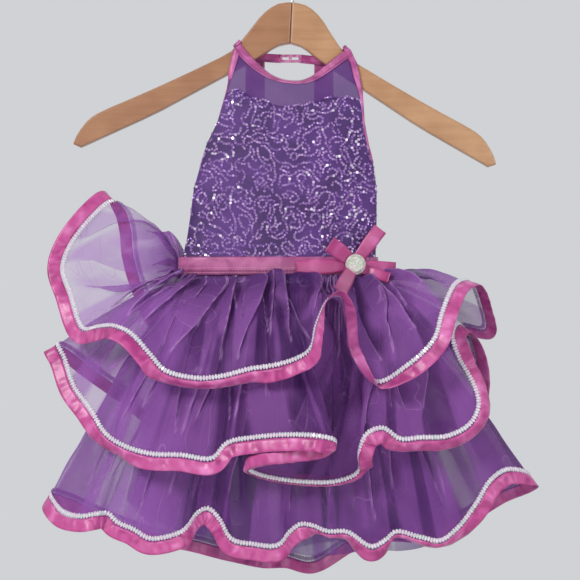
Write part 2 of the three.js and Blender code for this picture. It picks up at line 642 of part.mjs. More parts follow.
function hangerArm(side) {
  const inside = SEAM_GAP / 2;
  const shape = new THREE.Shape();
  const place = ([out, down]) => new THREE.Vector2(side * Math.max(out, inside), -down);
  const top = new THREE.SplineCurve(HANGER_TOP.map(place)).getPoints(22);
  const under = new THREE.SplineCurve(HANGER_UNDERSIDE.map(place)).getPoints(14);
  shape.setFromPoints([...top, ...under]);
  const geometry = new THREE.ExtrudeGeometry(shape, {
    depth: WOOD - 2 * WOOD_BEVEL, bevelThickness: WOOD_BEVEL, bevelSize: WOOD_BEVEL, bevelOffset: -WOOD_BEVEL + 0.001,
    bevelSegments: 2, steps: 1,
  });
  geometry.translate(0, 0, -WOOD / 2 + WOOD_BEVEL);
  geometry.rotateX(Math.PI / 2);
  return geometry;
}

for (const [name, side, colour] of [["hanger_arm_left", -1, 0xb9825a], ["hanger_arm_right", 1, 0xc89669]]) {
  const mesh = finish(name, hangerArm(side), colour, 0.45);
  hanger.add(mesh);
}

const hookRadius = HOOK_INNER + HOOK_WIRE / 2;
const hookTurns = Array.from({ length: 11 }, (_, i) => THREE.MathUtils.degToRad(-50 + i * 25));
const hookPath = new THREE.CatmullRomCurve3([
  new THREE.Vector3(0, 0, -60 + SEAM_GAP),
  new THREE.Vector3(0, 0, -52),
  new THREE.Vector3(3, 0, -43),
  ...hookTurns.map((angle) => new THREE.Vector3(
    hookRadius * Math.cos(angle), 0, hookRadius * Math.sin(angle) - HOOK_INNER)),
]);
const wire = new THREE.Shape();
wire.absarc(0, 0, HOOK_WIRE / 2, 0, 2 * Math.PI);
const hookBody = new THREE.ExtrudeGeometry(wire, { extrudePath: hookPath, steps: 48, curveSegments: 5 });
hanger.add(finish("hanger_hook", hookBody, 0xb8b8bc, 0.3, 1));

export default group;
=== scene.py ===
"""A girl's tutu dance dress on a wooden hanger: sequinned halter bodice, mesh yoke, elastic waistband
with a ribbon bow, and three organza tiers with ribbon and sequin-braid hems over a net petticoat."""
import math
import random

import bmesh
import bpy
import numpy as np
from mathutils import Matrix, Vector


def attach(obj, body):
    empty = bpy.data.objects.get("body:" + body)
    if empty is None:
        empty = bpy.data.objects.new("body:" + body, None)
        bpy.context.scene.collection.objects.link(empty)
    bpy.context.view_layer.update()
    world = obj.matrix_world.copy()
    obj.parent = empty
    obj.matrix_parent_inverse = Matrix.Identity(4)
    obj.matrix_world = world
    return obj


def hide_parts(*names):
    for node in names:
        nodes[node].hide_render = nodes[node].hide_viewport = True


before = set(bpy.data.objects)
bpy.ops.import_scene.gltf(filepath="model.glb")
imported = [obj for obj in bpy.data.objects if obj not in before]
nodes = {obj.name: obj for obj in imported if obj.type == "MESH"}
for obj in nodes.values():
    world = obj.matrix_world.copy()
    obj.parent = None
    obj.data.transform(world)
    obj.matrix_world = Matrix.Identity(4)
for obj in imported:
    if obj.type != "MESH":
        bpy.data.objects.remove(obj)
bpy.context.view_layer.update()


# ---- Hanger arms ---------------------------------------------------------------------------------
# Two arms of pale lotus wood, sanded round and clear-lacquered, glued together at the middle. The
# grain runs along each arm, with fine darker pores.
class Value:
    """A socket of a finish. Arithmetic on it adds the nodes that work it out."""

    def __init__(self, finish, socket):
        self.finish, self.socket = finish, socket

    def maths(self, operation, first, second=0.0):
        made = self.finish.node("ShaderNodeMath", {"operation": operation}, {0: first, 1: second})
        return made["Value"]

    def __add__(self, other):
        return self.maths("ADD", self, other)

    def __radd__(self, other):
        return self.maths("ADD", other, self)

    def __sub__(self, other):
        return self.maths("SUBTRACT", self, other)

    def __rsub__(self, other):
        return self.maths("SUBTRACT", other, self)

    def __mul__(self, other):
        return self.maths("MULTIPLY", self, other)

    def __rmul__(self, other):
        return self.maths("MULTIPLY", other, self)

    def between(self, low, high):
        """0 where the value is low or less, 1 where it is high or more, smooth between them."""
        return self.finish.node(
            "ShaderNodeMapRange", {"interpolation_type": "SMOOTHSTEP"}, {0: self, 1: low, 2: high})[0]


class Finish:
    """The material of one kind of piece, or the room's own light, built up node by node."""

    def __init__(self, name, room=None):
        self.material = room or bpy.data.materials.new(name)
        self.material.use_nodes = True
        self.material.node_tree.nodes.clear()

    def node(self, kind, settings=None, inputs=None):
        made = self.material.node_tree.nodes.new(kind)
        for key, value in (settings or {}).items():
            if key == "stops":
                for i, (place, colour) in enumerate(value):
                    stop = made.color_ramp.elements[i] if i < 2 else made.color_ramp.elements.new(place)
                    stop.position, stop.color = place, colour
            else:
                setattr(made, key, value)
        for key, value in (inputs or {}).items():
            if isinstance(value, Value):
                self.material.node_tree.links.new(value.socket, made.inputs[key])
            else:
                made.inputs[key].default_value = value
        return Outputs(self, made)

    def place(self, kind="Object", scale=(1, 1, 1), turn=(0, 0, 0)):
        """Coordinates in metres, or the piece's own UV, turned and stretched."""
        start = self.node("ShaderNodeTexCoord")[kind]
        inputs = {"Vector": start, "Rotation": turn, "Scale": scale}
        return self.node("ShaderNodeMapping", {}, inputs)["Vector"]

    def parts(self, where):
        """The X, Y and Z of a place."""
        return self.node("ShaderNodeSeparateXYZ", {}, {0: where})

    def cells(self, where, scale, **settings):
        return self.node("ShaderNodeTexVoronoi", settings, {"Vector": where, "Scale": scale})

    def noise(self, where, scale, detail=2.0, rough=0.5, distortion=0.0):
        return self.node("ShaderNodeTexNoise", {}, {
            "Vector": where, "Scale": scale, "Detail": detail, "Roughness": rough,
            "Distortion": distortion})[0]

    def mix(self, first, second, share):
        return self.node("ShaderNodeMix", {"data_type": "RGBA"}, {0: share, 6: first, 7: second})[2]

    def bump(self, height, depth):
        return self.node("ShaderNodeBump", {}, {"Height": height, "Distance": depth})["Normal"]

    def surface(self, **sockets):
        """The finish's shader; its sockets are given by name, with _ for each space."""
        inputs = {key.replace("_", " "): value for key, value in sockets.items()}
        shader = self.node("ShaderNodeBsdfPrincipled", {}, inputs)["BSDF"]
        self.node("ShaderNodeOutputMaterial", {}, {"Surface": shader})
        return self.material


class Outputs:
    def __init__(self, finish, made):
        self.finish, self.made = finish, made

    def __getitem__(self, key):
        return Value(self.finish, self.made.outputs[key])


def sRGB(red, green, blue):
    """A colour given as it is seen on a screen, 0 to 255."""
    def linear(c):
        c /= 255
        return c / 12.92 if c <= 0.04045 else ((c + 0.055) / 1.055) ** 2.4
    return (linear(red), linear(green), linear(blue), 1.0)


def wood(name, slope, dark, light):
    finish = Finish(name)
    along = finish.place(turn=(0, slope, 0), scale=(2.2, 34, 34))
    figure = finish.noise(along, 5.0, detail=5, rough=0.62, distortion=0.35)
    pores = finish.noise(finish.place(turn=(0, slope, 0), scale=(22, 420, 420)), 4.0, detail=2)
    cloud = finish.noise(finish.place(), 26.0, detail=2)
    tone = finish.mix(dark, light, (figure * 0.5 + cloud * 0.6).between(0.2, 0.9))
    flecked = finish.mix(tone, sRGB(150, 98, 58), pores.between(0.56, 0.72) * 0.22)
    return finish.surface(
        Base_Color=flecked, Roughness=figure * 0.16 + 0.3, Normal=finish.bump(pores, 0.00012),
        Coat_Weight=0.35, Coat_Roughness=0.22)


def finished(node, material):
    """A CAD node that stays as it is, in its real finish."""
    nodes[node].data.materials.clear()
    nodes[node].data.materials.append(material)


# The left arm's colours are darker and the right arm's paler: painted shade and painted light.
for arm, slope, dark, light in (
        ("hanger_arm_left", math.radians(-29), sRGB(158, 108, 76), sRGB(188, 138, 102)),
        ("hanger_arm_right", math.radians(35), sRGB(180, 132, 94), sRGB(212, 166, 124))):
    finished(arm, wood("lacquered_wood_painted_light_" + arm.split("_")[-1], slope, dark, light))


def piece(name, bm, material, wall=0.0, smooth=True):
    """An object from a finished mesh, riding on the dress; an open mesh is given a wall."""
    mesh = bpy.data.meshes.new(name)
    bm.to_mesh(mesh)
    bm.free()
    mesh.materials.append(material)
    mesh.polygons.foreach_set("use_smooth", [smooth] * len(mesh.polygons))
    made = bpy.data.objects.new(name, mesh)
    bpy.context.scene.collection.objects.link(made)
    if wall:
        shell = made.modifiers.new("wall", "SOLIDIFY")
        shell.thickness, shell.offset = wall * MM, 0.0
    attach(made, "root")
    return made


MM = 0.001
GLUE_THICK, GLUE_DEEP, GLUE_HIGH, GLUE_TURN = 0.24, 9.6, 43, 2.75
glue_bm = bmesh.new()
bmesh.ops.create_cube(glue_bm, size=1)
bmesh.ops.scale(glue_bm, vec=Vector((GLUE_THICK, GLUE_DEEP, GLUE_HIGH)) * MM, verts=glue_bm.verts)
bmesh.ops.rotate(glue_bm, matrix=Matrix.Rotation(math.radians(GLUE_TURN), 3, "Y"), verts=glue_bm.verts)
bmesh.ops.translate(glue_bm, vec=Vector((-3.91, 0, -81.4)) * MM, verts=glue_bm.verts)
darkened_glue = wood("darkened_wood_glue", 0, sRGB(120, 78, 48), sRGB(150, 104, 68))
glue_line = piece("hanger_glue_line", glue_bm, darkened_glue, smooth=False)


# ---- Hanger hook ---------------------------------------------------------------------------------
# A bent steel wire with a bright zinc finish, screwed into the top of the wood. Fine drawing lines
# dull it slightly.
steel = Finish("zinc_plated_wire")
drawn = steel.noise(steel.place(scale=(300, 300, 40)), 3.0, detail=3)
finished("hanger_hook", steel.surface(
    Base_Color=steel.mix(sRGB(150, 150, 154), sRGB(206, 206, 210), drawn), Metallic=1.0,
    Roughness=drawn * 0.2 + 0.2, Normal=steel.bump(drawn, 0.00004)))


# ---- Petticoat and tiers -------------------------------------------------------------------------
# Stiff nylon organza, cut as long strips, gathered on one edge and sewn round the waist one above
# the other over a plain net petticoat. Each strip springs out from its seam and hangs in folds that
# are never alike.
WAIST_CENTRE, WAIST_HALF_WIDTH, WAIST_HALF_DEPTH, WAIST_EDGE = -17.3, 102.5, 18.5, 0.8
CLOTH, TRIM, SEAM_GAP, BRAID_WIDTH, RIBBON_WIDTH = 1.0, 1.0, 0.3, 6.0, 13.0
SKIRT_OUT = CLOTH + SEAM_GAP + 0.3
TRIM_OUT = CLOTH / 2 + SEAM_GAP + TRIM / 2 + 0.3

# Folds of each hem in order round the body from its left side through the front: place round the
# waist in hundredths, the braid's x, y and z, how far the cloth springs out above it, and how far
# the ribbon tucks under.
TIER_1_HEM = (
    (0, -243, -26, -340, 12, 0), (1, -232, -40, -369, 12, 0), (3, -215, -62, -404, 12, 20),
    (5, -197, -76, -402, 12, 30), (7, -180, -88, -401, 12, 0), (9, -163, -96, -408, 12, 0),
    (11.5, -143, -100, -429, 12, 0), (13.5, -129, -99, -444, 12, 78),
    (16.5, -97, -98, -452, 12, 84), (19, -72, -100, -450, 12, 80), (22, -44, -98, -443, 12, 66),
    (24.5, -23, -100, -440, 12, 20), (27, 1, -106, -433, 12, 0), (29, 15, -114, -423, 12, 30),
    (30.8, 22, -120, -397, 4, 30), (32.4, 32, -128, -373, -8, 0), (33.8, 42, -126, -370, -10, -20),
    (34.9, 48, -112, -395, 4, -95), (36, 54, -96, -427, 12, -118), (39, 81, -84, -457, 12, -75),
    (42, 113, -92, -439, 12, 0), (44.5, 139, -88, -414, 12, 0), (46, 149, -76, -387, 12, 0),
    (48, 164, -58, -359, 12, 0), (50, 180, -38, -355, 10, 0), (52, 195, -12, -381, 12, 0),
    (54, 201, 10, -405, 12, 0), (57, 180, 26, -403, 12, 0), (61, 141, 38, -430, 10, 0),
    (66, 93, 46, -441, 10, 0), (71, 44, 44, -432, 10, 0), (76, -5, 52, -443, 10, 0),
    (80, -54, 48, -433, 10, 0), (84.5, -103, 50, -430, 10, 0), (87.5, -144, 48, -402, 12, 0),
    (90.5, -164, 40, -362, 12, 0), (93.4, -174, 34, -327, 14, 0), (95.2, -176, 26, -298, 16, 0),
    (96.6, -181, 18, -279, 18, 0), (97.8, -195, 4, -268, 18, 0), (98.8, -214, -10, -284, 17, 0),
    (99.4, -236, -19, -315, 14, 0),
)
TIER_2_HEM = (
    (0, -246, -34, -421, 8, 0), (1.5, -238, -40, -435, 8, 0), (3.5, -226, -52, -463, 8, 0),
    (5.5, -207, -66, -485, 8, 0), (8, -191, -74, -508, 8, 50), (10.5, -172, -80, -520, 8, 70),
    (13, -144, -84, -528, 8, 0), (15.5, -114, -86, -529, 8, 0), (18, -82, -88, -532, 8, 0),
    (20, -67, -88, -517, 8, 0), (22, -41, -94, -511, 8, 0), (23.5, -7, -105, -507, 8, 0),
    (25, 24, -117, -507, 8, 0), (26.8, 39, -114, -512, 8, 60), (28.2, 30, -108, -524, 6, 168),
    (30.4, 1, -100, -530, 6, 157), (32.2, -30, -98, -534, 6, 148), (34, -48, -88, -541, 6, 150),
    (35.6, -32, -77, -550, 6, 176), (37, 8, -73, -557, 6, 178), (38.3, 42, -76, -556, 6, 178),
    (39.5, 64, -84, -545, 6, 150), (40.6, 64, -94, -526, 8, 85), (41.7, 70, -94, -508, 8, 30),
    (42.7, 86, -89, -502, 8, 0), (43.7, 104, -86, -513, 8, 70), (44.8, 124, -84, -512, 8, 60),
    (46.2, 153, -78, -511, 8, 62), (47.4, 177, -70, -499, 8, 55), (48.4, 186, -66, -482, 8, 50),
    (49.3, 183, -60, -463, 8, 40), (50.1, 170, -50, -436, 8, 20), (51, 163, -39, -411, 8, 0),
    (52, 172, -20, -400, 8, 0), (53, 186, -3, -420, 8, 0), (54.5, 195, 14, -464, 8, 0),
    (56.5, 184, 27, -502, 8, 0), (61, 141, 38, -514, 6, 0), (67, 88, 48, -523, 6, 0),
    (72, 33, 40, -511, 6, 0), (77, -21, 50, -523, 6, 0), (82, -75, 40, -511, 6, 0),
    (87, -135, 44, -509, 6, 0), (92, -182, 26, -472, 8, 0), (96, -215, 6, -445, 8, 0),
    (98.5, -237, -14, -425, 8, 0),
)
TIER_3_HEM = (
    (0, -250, -40, -578, 5, 0), (2.5, -235, -54, -591, 5, 0), (5, -213, -66, -593, 5, 0),
    (6.7, -200, -68, -590, 5, 0), (8, -190, -60, -591, 5, 0), (9.3, -180, -60, -600, 5, 0),
    (11.3, -163, -66, -606, 5, 0), (13.5, -146, -68, -615, 5, 0), (15.8, -116, -68, -609, 5, 0),
    (17.2, -110, -65, -604, 5, 0), (18.4, -101, -56, -592, 5, 0), (19.6, -89, -48, -588, 5, 0),
    (20.8, -76, -49, -600, 5, 0), (22, -64, -56, -618, 5, 0), (24, -43, -60, -622, 5, 0),
    (25.8, -18, -62, -623, 5, 0), (26.9, -7, -54, -612, 5, 0), (28, 5, -50, -604, 5, 0),
    (29.2, 18, -55, -604, 5, 70), (30.8, 33, -60, -609, 5, 86), (33, 53, -64, -609, 5, 70),
    (35.5, 77, -68, -623, 5, 25), (37.5, 91, -66, -617, 5, 60), (39.5, 102, -62, -609, 5, 84),
    (42, 126, -64, -614, 5, 80), (44, 147, -62, -618, 5, 84), (46, 166, -58, -605, 5, 50),
    (47.3, 186, -49, -582, 5, 0), (48.3, 201, -40, -561, 5, 0), (49.4, 221, -27, -551, 5, 0),
    (50.7, 246, -10, -558, 5, 0), (52.2, 242, 8, -567, 5, 0), (54.2, 220, 22, -579, 5, 0),
    (57.5, 181, 32, -605, 5, 0), (61, 141, 38, -623, 5, 0), (65, 98, 44, -624, 5, 0),
    (69, 60, 38, -634, 5, 0), (72.5, 18, 38, -657, 5, 0), (76, -9, 46, -653, 5, 0),
    (79, -35, 38, -651, 5, 0), (82.5, -68, 46, -646, 5, 0), (86.5, -108, 38, -634, 5, 0),
    (90.5, -152, 42, -626, 5, 0), (94.5, -199, 32, -607, 5, 0), (97.5, -239, 2, -582, 5, 0),
    (99, -252, -22, -574, 5, 0),
)
PETTICOAT_HEM = (
    (0, -176, -14, -581, 2, 0), (6, -147, -30, -605, 2, 0), (12, -107, -28, -613, 2, 0),
    (18, -64, -34, -623, 2, 0), (24, -20, -32, -629, 2, 0), (29, 17, -36, -636, 2, 0),
    (33, 46, -34, -635, 2, 0), (37, 78, -38, -629, 2, 0), (41, 110, -34, -631, 2, 0),
    (45, 138, -28, -626, 2, 0), (49, 157, -14, -612, 2, 0), (54, 158, 2, -608, 2, 0),
    (60, 124, 12, -628, 2, 0), (66, 81, 18, -627, 2, 0), (72, 33, 14, -631, 2, 0),
    (78, -16, 20, -640, 2, 0), (84, -67, 14, -633, 2, 0), (90, -123, 16, -621, 2, 0),
    (96, -164, 4, -594, 2, 0),
)
TIER_2_FOLD = ((26.8, 0), (28.2, 0.7), (30.4, 1.4), (37, 1.4), (38.3, 0.8), (39.5, 0.14), (40.6, 0))

# Main folds: place round the waist, where each starts and ends between seam and hem, its half width
# in hundredths, how far it is laid over for its width, how far it stands out or, below nought, lies
# under, and its slant.
TIER_1_FOLDS = (
    (2.6, 0, 0.74, 1.5, 0.8, 5, 1), (4.4, 0.04, 0.72, 2.3, -0.7, 5, -0.9),
    (6.3, 0, 0.88, 2, 0.9, 5, 1.3), (8.6, 0, 0.6, 1, -0.8, 3, -1.6),
    (10.4, 0, 0.92, 1.7, 0.8, 6, -1.1), (12.4, 0.02, 0.7, 2.1, 0.9, 3, 1.4),
    (14.3, 0, 0.93, 2.8, -0.9, 5, -1.6), (16.2, 0, 0.62, 1, 0.8, 3, -1.8),
    (17.9, 0.02, 0.9, 1.5, 0.9, 6, 0.9), (19.6, 0, 0.66, 1.8, -0.8, 3, 1.6),
    (21.6, 0, 0.94, 3, 0.8, 5, -1.2), (23.4, 0.02, 0.74, 1, -0.9, 5, 1.1),
    (25.3, 0, 0.86, 1.5, 0.9, 5, 1.6), (28.3, 0, 0.94, 3.4, -0.9, 5, 1.2),
    (36.6, 0, 0.72, 1, 0.8, 3, 1.1), (38.6, 0, 0.95, 2.8, -0.8, 5, 2.2),
    (40.8, 0.02, 0.66, 2.1, 0.9, 3, -1.1), (42.6, 0, 0.84, 1.6, 0.7, 5, 1.3),
    (44.6, 0, 0.6, 1, -0.8, 3, -1.4), (47.2, 0.05, 0.8, 1.5, 0.7, 5, -0.7),
    (51, 0.05, 0.7, 2.3, 0.7, 3, 0.9), (55.4, 0, 0.84, 1.8, -0.8, 5, 1.4),
    (59.3, 0, 0.66, 1.1, 0.8, 5, -1.3), (62.8, 0, 0.88, 1.7, 0.9, 5, 0.9),
    (66.5, 0, 0.7, 2.3, -0.7, 5, -1.6), (69.7, 0.02, 0.9, 2, 0.8, 6, 1.3),
    (73.4, 0, 0.62, 1, 0.9, 3, -0.9), (76.6, 0, 0.84, 1.5, -0.8, 5, 1.4),
    (80.2, 0, 0.7, 2.3, 0.8, 5, -1.3), (83.6, 0, 0.88, 1.8, 0.7, 5, 1.1),
    (87, 0.04, 0.76, 1.1, -0.7, 5, -0.9), (90.6, 0.05, 0.8, 1.2, 0.7, 3, 0.9),
    (92.6, 0.05, 0.85, 2.1, 0.8, 3, -0.7), (95.8, 0, 0.86, 3.9, 0.9, 6, -0.6),
    (99.6, 0, 0.97, 4, -0.9, 6, 0.6),
)
TIER_2_FOLDS = (
    (41.2, 0.16, 0.97, 3.6, 0.9, 5, 0.4), (31, 0.2, 0.92, 3.4, -0.9, 5, -0.4),
    (2.2, 0.1, 0.9, 1.5, 0.7, 5, 0.9), (5.2, 0.15, 0.84, 2.3, -0.7, 5, -1.1),
    (8.4, 0.2, 0.92, 2, 0.8, 6, 1.3), (11.2, 0.2, 0.8, 1.1, 0.7, 5, -0.9),
    (14.2, 0.25, 0.94, 1.7, -0.8, 6, 1.1), (17, 0.2, 0.84, 2.3, 0.8, 5, -1.4),
    (19.6, 0.25, 0.92, 1.6, -0.7, 5, 0.9), (22.4, 0.25, 0.8, 1.2, 0.8, 5, 0.7),
    (43, 0.25, 0.86, 1, 0.7, 3, 0.7), (45.4, 0.2, 0.92, 2.3, -0.8, 5, -0.9),
    (48, 0.2, 0.8, 1.4, 0.7, 3, 0.7), (55, 0.1, 0.9, 1.1, 0.7, 5, 1.1),
    (60.5, 0.1, 0.8, 1.5, -0.8, 5, -1.3), (65.8, 0.1, 0.92, 2.9, 0.8, 6, 1.1),
    (70.6, 0.15, 0.8, 1.6, 0.7, 5, -0.9), (76, 0.1, 0.9, 1.3, -0.8, 5, 1.3),
    (81.6, 0.1, 0.84, 1.5, 0.8, 5, -1.1), (87.4, 0.1, 0.9, 2.6, 0.7, 5, 0.9),
    (93, 0.1, 0.84, 1.6, -0.7, 5, -0.7),
)
TIER_3_FOLDS = (
    (3.4, 0.2, 0.92, 1.5, 0.7, 5, 0.7), (7.2, 0.3, 0.86, 2.3, -0.7, 5, -1.1),
    (10.8, 0.3, 0.94, 1.8, 0.8, 6, 1.1), (14.6, 0.35, 0.86, 1.1, 0.7, 5, -0.9),
    (17, 0.3, 0.92, 1.2, -0.7, 5, 0.9), (21.6, 0.35, 0.9, 2.3, 0.7, 5, -0.7),
    (26.4, 0.3, 0.94, 1.8, 0.8, 5, 1.1), (31.6, 0.35, 0.88, 1.1, -0.7, 5, -0.9),
    (36, 0.3, 0.92, 1.4, 0.8, 5, 0.9), (40.6, 0.3, 0.86, 2.3, 0.7, 5, -1.1),
    (45, 0.3, 0.92, 1.4, -0.7, 5, 0.7), (53.6, 0.1, 0.9, 1.1, 0.7, 5, 0.9),
    (59.8, 0.1, 0.84, 1.5, -0.7, 5, -1.1), (66.4, 0.1, 0.92, 2.6, 0.8, 5, 1.1),
    (73, 0.1, 0.84, 1.8, 0.7, 5, -0.9), (80.6, 0.1, 0.92, 1.2, -0.8, 5, 0.9),
    (88, 0.1, 0.84, 1.4, 0.7, 5, 0.7), (95, 0.15, 0.9, 2.1, -0.7, 5, 0.5),
)
PETTICOAT_FOLDS = (
    (8, 0.1, 0.95, 1, 0.6, 2, 0.5), (17, 0.1, 0.95, 1, -0.6, 2, -0.5),
    (31, 0.1, 0.95, 1, 0.6, 2, 0.5), (41, 0.1, 0.95, 1, -0.6, 2, -0.5),
    (60, 0.1, 0.95, 1, 0.6, 2, 0.5), (80, 0.1, 0.95, 1, -0.6, 2, -0.5),
)


def spline_points(before, start, end, after, share):
    """Points of a centripetal spline from start to end, at shares of the way between them."""
    def reach(a, b):
        return np.maximum(((a - b) ** 2).sum(-1, keepdims=True), 1e-9) ** 0.25
    first, middle, last = reach(before, start), reach(start, end), reach(end, after)
    leave = ((start - before) / first - (end - before) / (first + middle)
             + (end - start) / middle) * middle
    arrive = ((end - start) / middle - (after - start) / (middle + last)
              + (after - end) / last) * middle
    return (start + leave * share + (3 * (end - start) - 2 * leave - arrive) * share ** 2
            + (2 * (start - end) + leave + arrive) * share ** 3)


def line_round(rows, per_row):
    """A closed smooth line through the rows, per_row points to each."""
    rows = np.array(rows, float)
    i = np.arange(len(rows) * per_row) // per_row
    share = (np.arange(len(rows) * per_row) % per_row / per_row)[:, None]
    at = [rows[(i + step) % len(rows)] for step in (-1, 0, 1, 2)]
    return spline_points(*at, share)


def evened(values, width):
    """Values round the hem with their corners softened, each the mean of its neighbours."""
    kernel = np.hanning(2 * width + 3)[1:-1]
    padded_out = np.concatenate([values[-width:], values, values[:width]])
    return np.convolve(padded_out, kernel / kernel.sum(), "valid")


def unit(vectors):
    return vectors / np.maximum(np.linalg.norm(vectors, axis=-1, keepdims=True), 1e-9)


def face_directions(form, closed):
    """The outward direction at each point of a form; its columns run to the right, its rows down."""
    if closed:
        across = np.roll(form, -1, 1) - np.roll(form, 1, 1)
    else:
        across = np.gradient(form, axis=1)
    return unit(np.cross(np.gradient(form, axis=0), across))


def waist_point(turn, z):
    angle = turn * math.pi
    depth = WAIST_EDGE + (WAIST_HALF_DEPTH - WAIST_EDGE) * np.abs(np.sin(angle))
    x = WAIST_CENTRE - WAIST_HALF_WIDTH * np.cos(angle)
    return np.stack([x, np.where(turn < 1, -depth, depth), np.full_like(x, z)], -1)


def turned(vectors, axes, angles):
    """Vectors turned about axes that are at right angles to them."""
    return vectors * np.cos(angles)[:, None] + np.cross(axes, vectors) * np.sin(angles)[:, None]


def gathers(places, count, rng):
    """Uneven waves round the waist, count of them, 0 to 1 high."""
    knots = np.cumsum(rng.uniform(0.45, 1.55, count))
    knots = np.concatenate([[0], knots / knots[-1] * 100])
    height = rng.uniform(0.45, 1.0, count)
    i = np.clip(np.searchsorted(knots, places % 100, "right") - 1, 0, count - 1)
    share = (places % 100 - knots[i]) / (knots[i + 1] - knots[i])
    return height[i] * np.sin(math.pi * share) ** 2


def ripple(rng, shape, around, down):
    """Soft uneven waves over a form, about 1 high, around and down knots of them each way."""
    knots = rng.uniform(-1, 1, (down + 1, around))
    column = np.arange(shape[1]) * around / shape[1]
    row = np.linspace(0, down, shape[0])
    a, b = column.astype(int), np.minimum(row.astype(int), down - 1)
    across = (0.5 - 0.5 * np.cos((column - a) * math.pi))[None, :]
    along = (0.5 - 0.5 * np.cos((row - b) * math.pi))[:, None]
    upper = knots[b][:, a] * (1 - across) + knots[b][:, (a + 1) % around] * across
    lower = knots[b + 1][:, a] * (1 - across) + knots[b + 1][:, (a + 1) % around] * across
    return upper * (1 - along) + lower * along


def skirt_form(hem, seam, stand, lean, per_row, waves, depth, folds, seed, fold, puffed):
    """Points of one layer in rows from the seam to the ribbon's edge, its outward directions, the
    braid's row, and each point's painted light: paler on crests and laid-over edges, darker in
    valleys."""
    rng = np.random.default_rng(seed)
    rows = np.array(hem, float)
    count = len(rows) * per_row
    braid = line_round(rows[:, 1:4], per_row)
    steps = np.arange(count) / per_row
    whole = np.arange(len(rows) + 1)
    places = np.interp(steps, whole, np.append(rows[:, 0], 100))
    trend = np.arange(count) * 100 / count
    places = evened(places - trend, per_row // 2) + trend
    bow = evened(np.interp(steps, whole, np.append(rows[:, 4], rows[0, 4])), per_row // 2)[:, None]
    curl = evened(np.radians(np.interp(steps, whole, np.append(rows[:, 5], rows[0, 5]))), per_row // 3)
    start = waist_point((places / 50) % 2, seam)
    outward = unit(np.stack([(start[:, 0] - WAIST_CENTRE) / WAIST_HALF_WIDTH ** 2,
                             start[:, 1] / WAIST_HALF_DEPTH ** 2, np.zeros(count)], -1))
    start = start + outward * (SKIRT_OUT + stand)
    run = braid - start
    length = np.linalg.norm(run, axis=1, keepdims=True)
    along = run / length
    spring = np.array([0, 0, 1]) + 0.3 * outward
    spring = unit(spring - (spring * along).sum(1, keepdims=True) * along)
    tangent = np.stack([-outward[:, 1], outward[:, 0], np.zeros(count)], -1)
    sideways = (run * tangent).sum(1, keepdims=True)
    extra = np.interp(places, *np.transpose(fold)) if fold else np.zeros(count)
    rolled = (1 + (lean - 1) * np.abs(outward[:, 1]) ** 8 + extra)[:, None]
    shares = np.concatenate([np.linspace(0, 0.16, 9)[:-1], np.linspace(0.16, 1, 31)])
    form = np.array([start + run * v + tangent * sideways * (v ** rolled - v)
                     + spring * bow * 4 * v * (1 - v) for v in shares])
    # the band below the braid
    across = unit(np.roll(braid, -per_row // 3, 0) - np.roll(braid, per_row // 3, 0))
    down = form[-1] - form[-3]
    down = unit(down - (down * across).sum(1, keepdims=True) * across)
    band_steps = 6
    at = form[-1]
    band = []
    for k in range(1, band_steps + 1):
        bend = curl * min(1.0, k / 2)
        at = at + turned(down, across, bend) * RIBBON_WIDTH / band_steps
        band.append(at)
    form = np.concatenate([form, band])
    # gathers, then the main folds, each laid over on itself
    v = np.concatenate([shares, np.ones(band_steps)])[:, None]
    out = face_directions(form, True)
    rise = np.clip(v / 0.1, 0, 1) ** 1.5
    fine = gathers(places[None, :] + 0.6 * np.sin(v * 9), waves, rng) * np.clip(1 - v / 0.62, 0, 1)
    broad = gathers(places[None, :] - 0.5 * np.sin(v * 5), waves // 3, rng) - 0.35
    broad = broad * np.clip(1.25 - v, 0.25, 1)
    push = depth * rise * (fine + broad * 1.2)
    quiet = 1 - 0.8 * np.clip((v - 0.88) / 0.12, 0, 1)
    slack = 1.6 * ripple(rng, push.shape, 46, 5) + ripple(rng, push.shape, 110, 11)
    push = push + rise * slack * quiet
    moved = np.repeat(places[None, :], len(v), 0)
    veil = np.zeros_like(moved)
    for place, top, bottom, width, over, height, slant in folds:
        way = np.clip((v - top) / (bottom - top), 0, 1)
        narrowed = width * (1 - 0.8 * way)
        aside = ((places[None, :] - place - slant * (v - top) + 50) % 100 - 50) / narrowed
        here = np.clip(way / 0.12, 0, 1) * np.clip((1 - way) / 0.4, 0, 1) * (v >= top)
        shape = np.sin(math.pi * aside) * np.cos(math.pi / 2 * aside) ** 2 * 1.5
        shape = np.where(np.abs(aside) < 1, shape, 0)
        moved = moved - over * narrowed * here * shape
        outer = -np.sign(over) * aside
        edge = np.clip((outer - 0.12) / 0.16, 0, 1) * np.clip((1 - outer) / 0.45, 0, 1)
        veil = np.maximum(veil, edge * here * min(1.0, width / 3))
        push = push - height * np.sign(over) * here * shape * (1 - 0.5 * way)
    push = push * quiet
    puff = np.sin(np.clip(v / 0.12, 0, 1) * math.pi) * (1 + 0.4 * ripple(rng, push.shape, 70, 2))
    puff = puff * puffed * (1 + 1.7 * np.exp(-((places[None, :] - 25.5) / 3.2) ** 2))
    ends = np.concatenate([places - 100, places, places + 100])
    columns = np.interp(moved, ends, np.arange(-count, 2 * count))
    a = np.floor(columns).astype(int)
    share = (columns - a)[..., None]
    level = np.arange(len(v))[:, None]
    laid = form[level, a % count] * (1 - share) + form[level, (a + 1) % count] * share
    outs = out[level, a % count] * (1 - share) + out[level, (a + 1) % count] * share
    # painted light and shade: paler where the cloth stands out and on laid-over edges, darker in valleys
    painted_fold_light = np.clip(0.45 + push / (3 * depth), 0, 1) + 0.9 * veil
    laid = laid + puff[..., None] * (outs * 0.6 + np.array([0, 0, 1.0]))
    return laid + outs * push[..., None], out, len(shares) - 1, painted_fold_light


